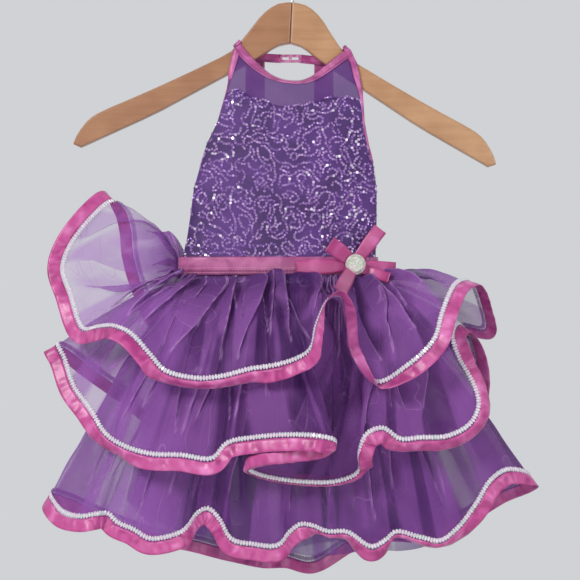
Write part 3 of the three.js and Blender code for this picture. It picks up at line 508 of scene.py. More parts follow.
def sharpness(form):
    """How sharply the cloth bends across its columns at each point, 0 flat to 1 creased."""
    before, after = form - np.roll(form, 1, 1), np.roll(form, -1, 1) - form
    bend = np.arccos(np.clip((unit(before) * unit(after)).sum(-1), -1, 1))
    step = np.linalg.norm(after, axis=-1) + np.linalg.norm(before, axis=-1)
    sharp = np.clip(bend / np.maximum(step, 0.8) * 2.6, 0, 1)
    return (sharp + 0.6 * np.maximum(np.roll(sharp, 1, 1), np.roll(sharp, -1, 1))) / 1.6


def sheet_mesh(name, form, closed, material, wall=0.0, marks=None):
    """A sheet of cloth through a form's points, in millimetres; a closed one is joined into a tube."""
    rows, columns = form.shape[:2]
    if closed:
        form = np.concatenate([form, form[:, :1]], 1)
    bm = bmesh.new()
    bm.loops.layers.uv.new("cut")
    layers = {mark: bm.verts.layers.float.new(mark) for mark in marks or {}}
    wide, high = form.shape[1] - 1, rows - 1
    bmesh.ops.create_grid(bm, x_segments=wide, y_segments=high, size=0.5, calc_uvs=True)
    for vert in bm.verts:
        column, row = round((vert.co.x + 0.5) * wide), round((0.5 - vert.co.y) * high)
        vert.co = Vector(form[row, column]) * MM
        for mark, layer in layers.items():
            vert[layer] = marks[mark][row, column % columns]
    if closed:
        bmesh.ops.remove_doubles(bm, verts=[v for v in bm.verts if v.is_boundary], dist=1e-6)
    return piece(name, bm, material, wall)


def stands_for(made, node, slot):
    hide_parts(node)


def organza(name, deep, lit, crease_highlight, clear, lapped, ribbon_share=0.13, close=0.0, seam_shade=0.1):
    """Sheer crisp cloth: denser where it is creased or laid over, clearer far out and where the ribbon
    backs it. Its colour runs from deep to lit as painted light and shade: paler on fold crests,
    laid-over edges and far out, more so on the left, darker in valleys, with a painted highlight on
    creases. close adds cover near the waist; seam_shade paints shade near the seam, and the less
    seam_shade, the more the colour near the seam is lifted towards lit as painted light."""
    finish = Finish(name)
    level = finish.place(scale=(1, 1, 0))
    spread = finish.node("ShaderNodeVectorMath", {"operation": "LENGTH"}, {0: level})["Value"]
    far = spread.between(0.105, 0.18)
    height = finish.parts(finish.node("ShaderNodeTexCoord")["UV"])["Y"]
    near_seam = height.between(0.5, 1.0)
    across = finish.parts(finish.place())["X"]
    crease = finish.node("ShaderNodeAttribute", {"attribute_name": "crease"})["Fac"]
    painted_fold_light = finish.node("ShaderNodeAttribute", {"attribute_name": "painted_fold_light"})["Fac"]
    patches = finish.noise(finish.place(scale=(1, 1, 0.6)), 15.0, detail=3, rough=0.6, distortion=0.7)
    wander = finish.noise(finish.place("UV", scale=(26, 2.6, 1)), 1.0, detail=1, distortion=1.2)
    off_line = finish.node("ShaderNodeMath", {"operation": "ABSOLUTE"}, {0: wander - 0.5})[0]
    hair = 1 - off_line.between(0.0, 0.009)
    line = hair * patches.between(0.42, 0.6)
    streak = finish.noise(finish.place("UV", scale=(90, 2.2, 1)), 1.0, detail=3, rough=0.6,
                          distortion=0.4)
    gather = streak.between(0.5, 0.72) * near_seam
    fold = crease.between(0.3, 0.95)
    lap = finish.noise(finish.place("UV", scale=(36, 0.7, 1)), 1.0, detail=1, distortion=0.6)
    lap = lap.between(0.44, 0.56)
    # light is painted light and shade: pale on fold crests and laid-over edges, dark in valleys, with
    # random patches and laps; seam_shade paints shade near the seam
    light = (painted_fold_light * 0.5 + patches * 0.6 + lap * 0.22).between(0.46, 0.86)
    light = light * (1 - near_seam * seam_shade)
    tone = finish.mix(deep, lit, light * 0.8)
    # painted light: far out the colour goes to lit, less on the right, with a paler violet far out on
    # the left; near the seam it is lifted towards lit
    tone = finish.mix(tone, lit, far * (0.85 - across.between(0.0, 0.1) * 0.45))
    tone = finish.mix(tone, lit, near_seam * (0.8 - seam_shade) * 0.9)
    tone = finish.mix(tone, sRGB(188, 116, 222), far * (1 - across.between(-0.12, 0.02)) * 0.3)
    # painted highlight: paler on creases, crease lines and gather streaks
    tone = finish.mix(tone, crease_highlight, fold * 0.5 + line * 0.4 + gather * 0.2)
    cover = clear + across.between(0.08, 0.17) * 0.12 + light * 0.2 + lap * lapped
    cover = cover + gather * 0.08 + line * 0.12 + near_seam * 0.24 + fold * 0.3
    cover = cover + (1 - spread.between(0.125, 0.19)) * close
    if ribbon_share:
        bare = height.between(ribbon_share - 0.02, ribbon_share + 0.01)
        cover = cover * (bare * 0.85 + 0.15)
    weave = finish.noise(finish.place(), 1400.0, detail=0)
    relief = patches * 0.5 + streak * 0.25 + line * 0.08 + weave * 0.015
    finish.surface(Base_Color=tone, Alpha=cover, Roughness=0.58, Normal=finish.bump(relief, 0.004),
                   Sheen_Weight=0.3, Sheen_Tint=sRGB(214, 150, 236), Sheen_Roughness=0.4,
                   Specular_IOR_Level=0.25)
    return finish.material


# name, hem, height of the seam, distance out at the waist, lean, columns a row of the hem table,
# gathers, their depth, folds, seed, turned-under part of the hem, puff above the seam, cut width
# and length in metres
LAYERS = (
    ("petticoat", PETTICOAT_HEM, -362, 0, 1.0, 18, 60, 2.0, PETTICOAT_FOLDS, 3, (), 0, (0.75, 0.26)),
    ("tier_3", TIER_3_HEM, -359, 1.2, 1.3, 18, 84, 3.0, TIER_3_FOLDS, 5, (), 0, (1.27, 0.285)),
    ("tier_2", TIER_2_HEM, -356, 1.9, 1.4, 18, 84, 3.0, TIER_2_FOLDS, 7, TIER_2_FOLD, 0, (1.50, 0.187)),
    ("tier_1", TIER_1_HEM, -350.5, 2.4, 1.15, 20, 96, 3.8, TIER_1_FOLDS, 11, (), 3, (1.40, 0.133)),
)
# Each layer's shaded and lit colours, then the painted highlight of its creases
ORGANZA = {
    "petticoat": organza("nylon_net", sRGB(112, 58, 150), sRGB(140, 84, 178), sRGB(150, 100, 184),
                         0.24, 0.06, 0),
    "tier_3": organza("organza_lowest_tier", sRGB(84, 36, 112), sRGB(150, 86, 176),
                      sRGB(196, 144, 214), 0.24, 0.14),
    "tier_2": organza("organza_middle_tier", sRGB(88, 40, 118), sRGB(158, 94, 182),
                      sRGB(204, 152, 220), 0.20, 0.12),
    "tier_1": organza("organza_upper_tier", sRGB(80, 38, 112), sRGB(174, 108, 200),
                      sRGB(214, 166, 228), 0.10, 0.06, close=0.12, seam_shade=0.8),
}
layers = {}
for name, hem, seam, stand, lean, per_row, waves, depth, folds, seed, fold, puffed, cut in LAYERS:
    form, out, braid_row, painted_fold_light = skirt_form(
        hem, seam, stand, lean, per_row, waves, depth, folds, seed, fold, puffed)
    body = form if name != "petticoat" else form[:braid_row + 1]
    # the painted fold light goes to the cloth as an attribute
    marks = {"crease": sharpness(body), "painted_fold_light": painted_fold_light}
    cloth = sheet_mesh(name + "_cloth", body, True, ORGANZA[name], 0.25, marks)
    stands_for(cloth, name, "organza" if name != "petticoat" else "net")
    layers[name] = (form, face_directions(form, True), braid_row, cloth, cut)
layers["petticoat"][3]
layers["petticoat"][4]


# ---- Ribbon hems ---------------------------------------------------------------------------------
# Pink single-face satin ribbon, sewn flat along the outside of each tier's edge. The stitching
# draws it up into small uneven puckers.
def satin(name, light, middle, shade, bands):
    """Woven satin with a painted sheen: its colour runs from shade through middle to light in bands.
    Bands are how often its painted sheen changes along and across a strip.
    """
    finish = Finish(name)
    pull = finish.noise(finish.place("UV", scale=(*bands, 1)), 1.0, detail=1.5, rough=0.45,
                        distortion=0.35)
    cloud = finish.noise(finish.place(), 18.0, detail=2)
    threads = finish.noise(finish.place(scale=(600, 600, 600)), 3.0, detail=1)
    # painted sheen: bands of light and shade along and across the strip
    painted_sheen = pull * 0.7 + cloud * 0.4
    tone = finish.mix(shade, middle, painted_sheen.between(0.38, 0.56))
    tone = finish.mix(tone, light, painted_sheen.between(0.56, 0.78))
    return finish.surface(
        Base_Color=tone, Roughness=threads * 0.1 + 0.28,
        Normal=finish.bump(pull + threads * 0.03, 0.0014),
        Sheen_Weight=0.3, Sheen_Roughness=0.3, Specular_IOR_Level=0.6, Anisotropic=0.4)


# The ribbon's light, middle and shade colours are its painted sheen.
PINK_SATIN = satin("pink_satin_ribbon", sRGB(240, 138, 204), sRGB(208, 88, 160),
                   sRGB(176, 58, 132), (110, 0.8))


def draped_round(rng, form, out, rows, offset, pucker):
    """A trim's form on the rows of a layer, moved out and puckered along its stitching."""
    base = form[rows[0]:rows[1] + 1] + out[rows[0]:rows[1] + 1] * offset
    step = np.linalg.norm(np.roll(base[0], -1, 0) - base[0], axis=1)
    place = np.cumsum(step)
    wave = np.zeros(len(place))
    at = 0.0
    while at < place[-1]:
        pitch, height = rng.uniform(6, 15), rng.uniform(0.3, 1.3)
        inside = (place > at) & (place < at + pitch)
        wave[inside] += height * np.sin((place[inside] - at) / pitch * math.pi) ** 2
        at += pitch * rng.uniform(0.8, 1.5)
    down = np.linspace(0, 1, base.shape[0])[:, None]
    raised = pucker * wave[None, :] * np.sin(down * math.pi * 0.8 + 0.2)
    return base + out[rows[0]:rows[1] + 1] * raised[..., None]


for number in (1, 2, 3):
    form, out, braid_row, cloth, cut = layers[f"tier_{number}"]
    rng = np.random.default_rng(40 + number)
    ribbon_form = draped_round(rng, form, out, (braid_row, form.shape[0] - 1), TRIM_OUT - 0.25, 0.9)
    ribbon = sheet_mesh(f"ribbon_hem_{number}", ribbon_form, True, PINK_SATIN, 0.35)
    stands_for(ribbon, f"ribbon_{number}", "ribbon")
    layers[f"tier_{number}"] = (form, out, braid_row, cloth, cut, ribbon)


# ---- Sequin braid --------------------------------------------------------------------------------
# Pearly white sequins, strung overlapping into a braid six millimetres wide that is sewn along the
# ribbon's upper edge, so that it has a scalloped outline.
SEQUIN_PITCH = 3.0


def pearl(name):
    finish = Finish(name)
    hue = finish.noise(finish.place(), 160.0, detail=2)
    tint = finish.node("ShaderNodeValToRGB", {"stops": (
        (0.3, sRGB(206, 220, 224)), (0.48, sRGB(236, 232, 240)), (0.6, sRGB(232, 212, 236)),
        (0.75, sRGB(216, 236, 220)))}, {0: hue})["Color"]
    return finish.surface(Base_Color=tint, Roughness=0.32, Coat_Weight=0.4, Specular_IOR_Level=0.6)


def scattered(name, shape, placements, material):
    """One piece made of many small like shapes, each at its own placement."""
    coords = np.empty(len(shape.vertices) * 3)
    shape.vertices.foreach_get("co", coords)
    bm = bmesh.new()
    for placement in placements:
        shape.transform(placement)
        bm.from_mesh(shape)
        shape.vertices.foreach_set("co", coords)
    return piece(name, bm, material, smooth=False)


def small_disc(name, radius, thickness, sides, crown):
    """A flat round spangle with a bevelled face."""
    bm = bmesh.new()
    bmesh.ops.create_cone(bm, cap_ends=True, segments=sides, radius1=radius * MM,
                          radius2=radius * crown * MM, depth=thickness * MM)
    mesh = bpy.data.meshes.new(name)
    bm.to_mesh(mesh)
    bm.free()
    return mesh


def placement(at, across, up):
    """Where a small shape goes: its own Z along up and its own X along across."""
    z = Vector(up).normalized()
    x = (Vector(across) - z * Vector(across).dot(z)).normalized()
    y = z.cross(x)
    turn = Matrix((x, y, z)).transposed().to_4x4()
    return Matrix.Translation(Vector(at) * MM) @ turn


def distance_along(points):
    steps = np.linalg.norm(np.diff(points, axis=0), axis=1)
    return np.concatenate([[0], np.cumsum(steps)])


PEARL = pearl("iridescent_white_sequin")
braid_disc = small_disc("braid_sequin", BRAID_WIDTH / 2, 1.0, 10, 0.62)
braid_disc.transform(Matrix.Diagonal((0.56, 0.92, 1, 1)))
for number in (1, 2, 3):
    form, out, braid_row, cloth, cut, ribbon = layers[f"tier_{number}"]
    rng = np.random.default_rng(60 + number)
    above = form[braid_row - 1]
    reach = np.linalg.norm(form[braid_row] - above, axis=1, keepdims=True)
    middle = form[braid_row] + (above - form[braid_row]) / reach * (BRAID_WIDTH / 2 + 0.3)
    middle = middle + out[braid_row] * (TRIM_OUT + 0.2)
    ring = np.concatenate([middle, middle[:1]])
    place = distance_along(ring)
    normals = np.concatenate([out[braid_row], out[braid_row][:1]])
    spots = np.arange(0, place[-1], SEQUIN_PITCH)
    points = np.stack([np.interp(spots, place, ring[:, k]) for k in range(3)], -1)
    ups = unit(np.stack([np.interp(spots, place, normals[:, k]) for k in range(3)], -1))
    ahead = unit(np.roll(points, -1, 0) - points)
    tilt = math.radians(14) + rng.uniform(-0.14, 0.14, len(spots))
    leaned = ups * np.cos(tilt)[:, None] - ahead * np.sin(tilt)[:, None]
    points = points + np.cross(ups, ahead) * (np.arange(len(spots)) % 2 - 0.5)[:, None] * 0.3
    strung = scattered(f"sequin_braid_{number}", braid_disc,
                       [placement(p, a, u) for p, a, u in zip(points, ahead, leaned)], PEARL)
    stands_for(strung, f"braid_{number}", "braid")


# ---- Bodice --------------------------------------------------------------------------------------
# Stretch mesh in deep purple over a matching knit, cut as a front panel that narrows to the halter
# neck and a low back panel. The front's top edge follows the sequins where the bare mesh yoke
# begins.
# height, left and right edge, and how far the side edges, front middle and back middle stand out
BODICE = np.array((
    (-96, -60, 50, 8.4, 9, 9),
    (-125, -66, 64, 8.4, 9.4, 9),
    (-155, -72, 70, 8.4, 10.5, 9),
    (-187, -81, 72, 7.5, 12, 9),
    (-211, -93, 77, 4, 13.5, 10),
    (-233, -99.5, 83, 0.8, 15, 11),
    (-256, -106, 86, 0.8, 16, 12),
    (-287, -110, 86, 0.8, 17, 14),
    (-307, -113, 85.5, 0.8, 17.5, 15),
    (-325, -117, 85, 0.8, 18.5, 17),
    (-333, -119.8, 85.2, 0.8, 18.5, 18.5),
    (-377, -119.8, 85.2, 0.8, 18.5, 18.5),
), float)
NECKLINE = (
    (-62, -109), (-53, -120), (-38, -133), (-23, -141), (-8, -144.5), (9, -145), (22, -141),
    (32, -135), (42, -128), (56, -118),
)
SEQUIN_TOP = (
    (-71.5, -156), (-58, -152.5), (-46, -160), (-33, -164), (-18, -169.5), (-3, -170), (12, -168),
    (24, -165), (38, -161), (52, -160.5), (69.5, -162),
)


def section_at(z):
    """Left and right edges, and the edge, middle and back depths of the bodice at a height."""
    return [np.interp(-np.asarray(z, float), -BODICE[:, 0], BODICE[:, k]) for k in range(1, 6)]


def front_point(x, z, out=0.0):
    left, right, edge, middle, _ = section_at(z)
    across = np.clip((2 * x - left - right) / (right - left), -1, 1)
    return np.stack([x, -(edge + (middle - edge) * np.sqrt(1 - across ** 2)) - out, z + 0 * x], -1)


def bodice_point(side, turn, z):
    left, right, edge, middle, back = section_at(z)
    deep = middle if side < 0 else back
    x = (left + right) / 2 - (right - left) / 2 * np.cos(turn * math.pi)
    return np.stack([x, side * (edge + (deep - edge) * np.sin(turn * math.pi)), z + 0 * x], -1)


def line_through(rows, count):
    """Evenly spaced points on a smooth line through the rows."""
    rows = np.array(rows, float)
    rows = np.concatenate([[2 * rows[0] - rows[1]], rows, [2 * rows[-1] - rows[-2]]])
    share = np.linspace(0, 1, 24, endpoint=False)[:, None]
    fine = [spline_points(*(np.repeat(rows[i + k][None], 24, 0) for k in range(4)), share)
            for i in range(len(rows) - 3)]
    fine = np.concatenate(fine + [rows[-2][None]])
    place = distance_along(fine)
    spots = np.linspace(0, place[-1], count)
    return np.stack([np.interp(spots, place, fine[:, k]) for k in range(rows.shape[1])], -1)


def stretch_knit(name, dark, light):
    finish = Finish(name)
    where = finish.place(scale=(1, 0.3, 1))
    knit = finish.cells(where, 900.0, feature="F1")["Distance"]
    cloud = finish.noise(where, 22.0, detail=3)
    tone = finish.mix(dark, light, cloud.between(0.36, 0.64) * 0.8 + knit * 0.2)
    return finish.surface(Base_Color=tone, Roughness=0.5, Normal=finish.bump(knit, 0.0003),
                          Sheen_Weight=0.3, Sheen_Roughness=0.4)


PANEL_COLUMNS, YOKE_FOOT, BODICE_FOOT = 97, -187, -377
top_line = line_through(SEQUIN_TOP, PANEL_COLUMNS)
turns = np.linspace(0, 1, PANEL_COLUMNS)
lower_x = bodice_point(-1, turns, np.full(PANEL_COLUMNS, float(YOKE_FOOT)))[:, 0]
upper = [front_point(top_line[:, 0] * (1 - s) + lower_x * s,
                     (top_line[:, 1] - 0.3) * (1 - s) + YOKE_FOOT * s)
         for s in np.linspace(0, 1, 10)[:-1]]
lower = [bodice_point(-1, turns, np.full(PANEL_COLUMNS, z))
         for z in np.linspace(YOKE_FOOT, BODICE_FOOT, 48)]
front_form = np.array(upper + lower)
DEEP_PURPLE = stretch_knit("purple_stretch_mesh", sRGB(60, 28, 94), sRGB(92, 48, 134))
front_panel = sheet_mesh("bodice_front_cloth", front_form, False, DEEP_PURPLE, 0.8)
stands_for(front_panel, "bodice_front", "sequin_cloth")
back_turns = turns[::-1]
back_top = -240 + (-262 + 240) * np.sin(back_turns * math.pi)
back_form = np.array([bodice_point(1, back_turns, back_top * (1 - s) + BODICE_FOOT * s)
                      for s in np.linspace(0, 1, 34)])
back_panel = sheet_mesh("bodice_back_cloth", back_form, False, DEEP_PURPLE, 0.8)
stands_for(back_panel, "bodice_back", "sequin_cloth")


# ---- Bodice sequins ------------------------------------------------------------------------------
# Three-millimetre purple spangles, sewn on in short chains that wander over the mesh without
# crossing. They lie at slightly different tilts, so a few catch the light; a few pale discs among
# them, more near the panel's sides, are painted glints.
CHAIN_STEP, CHAIN_GAP = 3.0, 3.1


def wandering_chains(inside, box, seed, tries):
    """Short curling lines of stitches that keep clear of each other: lists of x and z."""
    rng = random.Random(seed)
    taken = {}

    def near(x, z, line, index):
        column, row = int(x // 5), int(z // 5)
        for a in (column - 1, column, column + 1):
            for b in (row - 1, row, row + 1):
                for px, pz, other, at in taken.get((a, b), ()):
                    apart = math.hypot(px - x, pz - z)
                    if other != line and apart < CHAIN_GAP:
                        return True
                    if other == line and index - at > 2 and apart < CHAIN_GAP * 0.85:
                        return True
        return False

    chains = []
    for line in range(tries):
        x, z = rng.uniform(box[0], box[1]), rng.uniform(box[2], box[3])
        if not inside(x, z) or near(x, z, line, 0):
            continue
        heading, bend = rng.uniform(0, 2 * math.pi), rng.choice((-1, 1)) * rng.uniform(0.2, 0.8)
        chain = [(x, z)]
        for index in range(1, rng.randint(4, 20)):
            if rng.random() < 0.3:
                bend = -math.copysign(rng.uniform(0.1, 1.0), bend)
            for swerve in (0, 0.35, -0.35, 0.8, -0.8):
                nx = x + CHAIN_STEP * math.cos(heading + bend + swerve)
                nz = z + CHAIN_STEP * math.sin(heading + bend + swerve)
                if inside(nx, nz) and not near(nx, nz, line, index):
                    break
            else:
                break
            heading += bend + swerve
            taken.setdefault((int(x // 5), int(z // 5)), []).append((x, z, line, index - 1))
            x, z = nx, nz
            chain.append((x, z))
        taken.setdefault((int(x // 5), int(z // 5)), []).append((x, z, line, len(chain) - 1))
        if len(chain) > 2:
            chains.append(chain)
    return chains


def spangle_finish(name, dark, light):
    finish = Finish(name)
    tint = finish.noise(finish.place(), 240.0, detail=1)
    return finish.surface(Base_Color=finish.mix(dark, light, tint.between(0.35, 0.65)), Metallic=0.4,
                          Roughness=tint * 0.12 + 0.16, Specular_IOR_Level=0.7)


SPANGLE = spangle_finish("purple_sequin", sRGB(150, 106, 192), sRGB(206, 170, 230))
spangle_bm = bmesh.new()
profile = [spangle_bm.verts.new(Vector(at) * MM)
           for at in ((1.5, 0, 0), (1.1, 0, 0.38), (0.3, 0, 0.04))]
sides = [spangle_bm.edges.new((profile[i], profile[(i + 1) % 3])) for i in range(3)]
bmesh.ops.spin(spangle_bm, geom=profile + sides, axis=(0, 0, 1), cent=(0, 0, 0),
               angle=2 * math.pi, steps=8, use_merge=True)
bmesh.ops.recalc_face_normals(spangle_bm, faces=spangle_bm.faces)
spangle = bpy.data.meshes.new("spangle")
spangle_bm.to_mesh(spangle)
spangle_bm.free()
# Pale discs whose colour is a painted glint.
PAINTED_GLINT_SPANGLE = spangle_finish("painted_glint_sequin", sRGB(224, 206, 250), sRGB(250, 240, 255))
flat_spangle = small_disc("flat_spangle", 1.7, 0.35, 8, 0.8)
spangle_random = random.Random(23)


def spangles_on(name, inside, box, surface, outside, seed, tries):
    """Spangles sewn in chains over a panel's face, a few of them pale discs that are painted glints,
    more often near the sides.
    """
    reach = 0.8
    placements, painted_glint = [], []
    for chain in wandering_chains(inside, box, seed, tries):
        for x, z in chain:
            at, right, left, above, below = surface(
                x + np.array([0, reach, -reach, 0, 0]), z + np.array([0, 0, 0, reach, -reach]))
            slope_x, slope_z = right - left, above - below
            up = np.cross(slope_x, slope_z) * outside
            up = up / np.linalg.norm(up)
            lean = Vector((spangle_random.gauss(0, 0.3), 0, spangle_random.gauss(0, 0.3)))
            # pale discs as painted glints, more often near the panel's sides
            near_side = abs(x + 17) > 45
            lot = painted_glint if spangle_random.random() < (0.09 if near_side else 0.03) else placements
            lot.append(placement(at + up * 0.75, slope_x, Vector(up) + lean))
    for sewn in (scattered(name, spangle, placements, SPANGLE),
                 scattered(name + "_painted_glint", flat_spangle, painted_glint, PAINTED_GLINT_SPANGLE)):
        yield sewn


def on_front(x, z):
    left, right = section_at(z)[:2]
    top = np.interp(x, top_line[:, 0], top_line[:, 1])
    return left + 0.2 < x < right - 0.2 and BODICE_FOOT + 1 < z < top + 0.8


def on_back(x, z):
    left, right = section_at(z)[:2]
    share = (x - left) / (right - left)
    if not 0.01 < share < 0.99:
        return False
    top = -240 - 22 * math.sin(math.acos(1 - 2 * share))
    return BODICE_FOOT + 1 < z < top - 1.5


def back_surface(x, z):
    left, right, edge, _, back = section_at(z)
    across = np.clip((2 * x - left - right) / (right - left), -1, 1)
    return np.stack([x, edge + (back - edge) * np.sqrt(1 - across ** 2), z + 0 * x], -1)


front_sequins = list(spangles_on("bodice_front_sequins", on_front, (-120, 86, BODICE_FOOT, -150),
                                 front_point, 1, 5, 60000))
back_sequins = list(spangles_on("bodice_back_sequins", on_back, (-120, 86, BODICE_FOOT, -240),
                                back_surface, -1, 6, 40000))


# ---- Yoke ----------------------------------------------------------------------------------------
# One layer of plain stretch mesh from the sequins up to the neckline, fine enough to read as a
# tint, through which the back straps show.
def sheer_mesh(name, tint, cover):
    finish = Finish(name)
    net = finish.node("ShaderNodeTexVoronoi", {"feature": "DISTANCE_TO_EDGE"}, {
        "Vector": finish.place(scale=(1, 0.2, 1)), "Scale": 1100.0, "Randomness": 0.25})["Distance"]
    cloud = finish.noise(finish.place(), 20.0, detail=2)
    return finish.surface(
        Base_Color=finish.mix(tint, sRGB(142, 98, 170), cloud.between(0.4, 0.75) * 0.4),
        Alpha=cover + cloud * 0.12 - net.between(0.1, 0.5) * 0.2, Roughness=0.55,
        Normal=finish.bump(net, 0.0002), Sheen_Weight=0.2)


neck_line = line_through(NECKLINE, PANEL_COLUMNS)
yoke_form = np.array([front_point(neck_line[:, 0] * (1 - s) + top_line[:, 0] * s,
                                  neck_line[:, 1] * (1 - s) + (top_line[:, 1] - 1.8) * s, -0.95 * s ** 6)
                      for s in np.linspace(0, 1, 24)])
PURPLE_MESH = sheer_mesh("purple_sheer_mesh", sRGB(100, 46, 136), 0.66)
yoke = sheet_mesh("yoke_mesh", yoke_form, False, PURPLE_MESH, 0.3)
stands_for(yoke, "yoke", "yoke_mesh")


# ---- Bindings and straps -------------------------------------------------------------------------
# Shiny pink spandex, folded over the neck and armhole edges and stitched near its free edge, and
# carried on over the hanger as neck straps. The back's two straps and the neck band are the same
# cloth over elastic, in a darker copy of its pink that is painted shade.
BINDING_WIDTH, STRAP_OVER_WOOD, BACK_Y = 8.5, 7.45, 9.45
# name, x and height of the middle over the wood, slope of the wood in degrees
NECK_STRAPS = (
    ("neck_strap_left", -59.5, -104.5, 44),
    ("neck_strap_right", 54, -110, -44),
)
# name, x and height of the right end, then of the left end
BACK_BANDS = (
    ("neck_band_back_left", -14, -117, -60, -113),
    ("neck_band_back_right", 56, -121, 5, -117),
)
# name, x, top, foot, and how far back the foot is
BACK_STRAPS = (
    ("back_strap_left", -42, -114, -268, 14.85),
    ("back_strap_right", 31, -116, -268, 13.85),
)


def spandex(name, dark, light, stitches_along):
    """Shiny stretch cloth with a row of stitches pressed into it along its lower edge."""
    finish = Finish(name)
    cloud = finish.noise(finish.place(), 55.0, detail=3, distortion=0.6)
    rib = finish.noise(finish.place(scale=(500, 500, 120)), 2.0, detail=1)
    parts = finish.parts(finish.node("ShaderNodeTexCoord")["UV"])
    along, across = parts["X"] * stitches_along, parts["Y"]
    gap = finish.node("ShaderNodeMath", {"operation": "FRACT"}, {0: along})[0]
    stitch = across.between(0.12, 0.17) * (1 - across.between(0.23, 0.28)) * gap.between(0.25, 0.35)
    tone = finish.mix(dark, light, cloud.between(0.35, 0.66))
    return finish.surface(
        Base_Color=finish.mix(tone, sRGB(120, 40, 92), stitch * 0.7), Roughness=rib * 0.14 + 0.3,
        Normal=finish.bump(rib * 0.2 + cloud * 0.9 - stitch * 0.5, 0.0008), Sheen_Weight=0.3,
        Sheen_Roughness=0.35, Specular_IOR_Level=0.55)


PINK_SPANDEX = spandex("pink_spandex_binding", sRGB(176, 78, 142), sRGB(220, 122, 188), 90)
# The back's elastic: a darker copy of the binding's pink, painted shade.
SHADED_PINK_ELASTIC = spandex("shaded_pink_elastic", sRGB(158, 50, 124), sRGB(192, 82, 154), 30)
ends = np.gradient(neck_line, axis=0)
upward = unit(np.stack([-ends[:, 1], 0 * ends[:, 0], ends[:, 0]], -1))
lean_back = np.radians(70) * np.sin(np.linspace(0, math.pi, PANEL_COLUMNS)) ** 1.6
edge_line = front_point(neck_line[:, 0], neck_line[:, 1], 1.0)
neck_rows = []
for reach in np.linspace(BINDING_WIDTH - 1.6, -1.6, 7):
    rise = np.where(reach > 0, reach * np.cos(lean_back), reach)[:, None]
    back = np.where(reach > 0, reach * np.sin(lean_back), 0)
    neck_rows.append(edge_line + upward * rise + np.stack([0 * back, back, 0 * back], -1))
neck_binding = sheet_mesh("neck_binding_cloth", np.array(neck_rows), False, PINK_SPANDEX, 1.2)
stands_for(neck_binding, "neck_binding_front", "binding")

for name, side, widths, shown in (("armhole_binding_left", -1, (6, 4, 1.5, 1, 1), -1.1),
                                  ("armhole_binding_right", 1, (6.5, 5.5, 3.4, 1.5, 1), 1)):
    z = np.linspace(-110, -229, 80)
    face = np.interp(-z, (136, 146), (1, shown))
    reverse = np.interp(-z, (116, 124), (-0.4, 1))
    width = np.interp(-z, (121, 140, 156, 168, 229), widths)
    left, right, edge = section_at(z)[:3]
    rim = left if side < 0 else right
    rows = []
    for inward, forward in ((1, 1), (0.6, 1.15), (0.2, 1.1), (-0.1, 0.7), (-0.1, -0.7), (0.2, -1.1),
                            (1, -1)):
        x = rim - side * (width * max(inward, 0) - (0.6 + 0.6 * face if inward < 0.1 else 0.5))
        on_panel = np.clip(x, left, right)
        lift = forward * (face if forward > 0 else reverse) * 0.95
        rows.append(front_point(on_panel, z) + np.stack([x - on_panel, -lift, 0 * z], -1))
    binding = sheet_mesh(name + "_cloth", np.array(rows), False, PINK_SPANDEX, 0.5)
    stands_for(binding, name, "binding")

for name, x, z, slope in NECK_STRAPS:
    edge = STRAP_OVER_WOOD
    path = line_through(((-edge, -1.2), (-edge, 0.4), (1.5 - edge, 1.6), (-edge / 2, 2.6),
                         (edge / 2, 2.6), (edge - 1.5, 1.6), (edge, -1), (edge, -11)), 40)
    tilt = math.radians(slope)
    along = np.array([math.cos(tilt), 0, math.sin(tilt)])
    up = np.array([-math.sin(tilt), 0, math.cos(tilt)])
    rows = []
    for share in np.linspace(0.5, -0.5, 9):
        swell = 0.35 * np.cos(share * 6 * math.pi) * np.sin(np.linspace(0, math.pi, 40))
        rows.append(np.array([x, 0, z]) + path[:, :1] * np.array([0, 1, 0])
                    + (path[:, 1] + swell)[:, None] * up + along * share * BINDING_WIDTH)
    strap = sheet_mesh(name + "_cloth", np.array(rows), False, PINK_SPANDEX, 1.2)
    stands_for(strap, name, "binding")

bands = []
for name, x0, z0, x1, z1 in BACK_BANDS:
    t = np.linspace(0, 1, 30)
    rows = [np.stack([x0 + (x1 - x0) * t, BACK_Y + 0.25 * np.sin(t * 9 + share),
                      z0 + (z1 - z0) * t ** 1.5 + share * 9], -1)
            for share in np.linspace(0.5, -0.5, 7)]
    band = sheet_mesh(name + "_cloth", np.array(rows), False, SHADED_PINK_ELASTIC, 1.2)
    stands_for(band, name, "binding")
    bands.append(band)
for name, x, top, bottom, foot in BACK_STRAPS:
    t = np.linspace(0, 1, 60)
    y = BACK_Y + 1.8 + (foot - BACK_Y - 1.8) * t + 0.3 * np.sin(t * 12)
    rows = [np.stack([x + share * (20 + 0.5 * np.sin(t * 7)), y, top + (bottom - top) * t], -1)
            for share in np.linspace(-0.5, 0.5, 11)]
    strap = sheet_mesh(name + "_cloth", np.array(rows), False, SHADED_PINK_ELASTIC, 1.2)
    stands_for(strap, name, "binding")
    bands if name == "back_strap_left" else ()


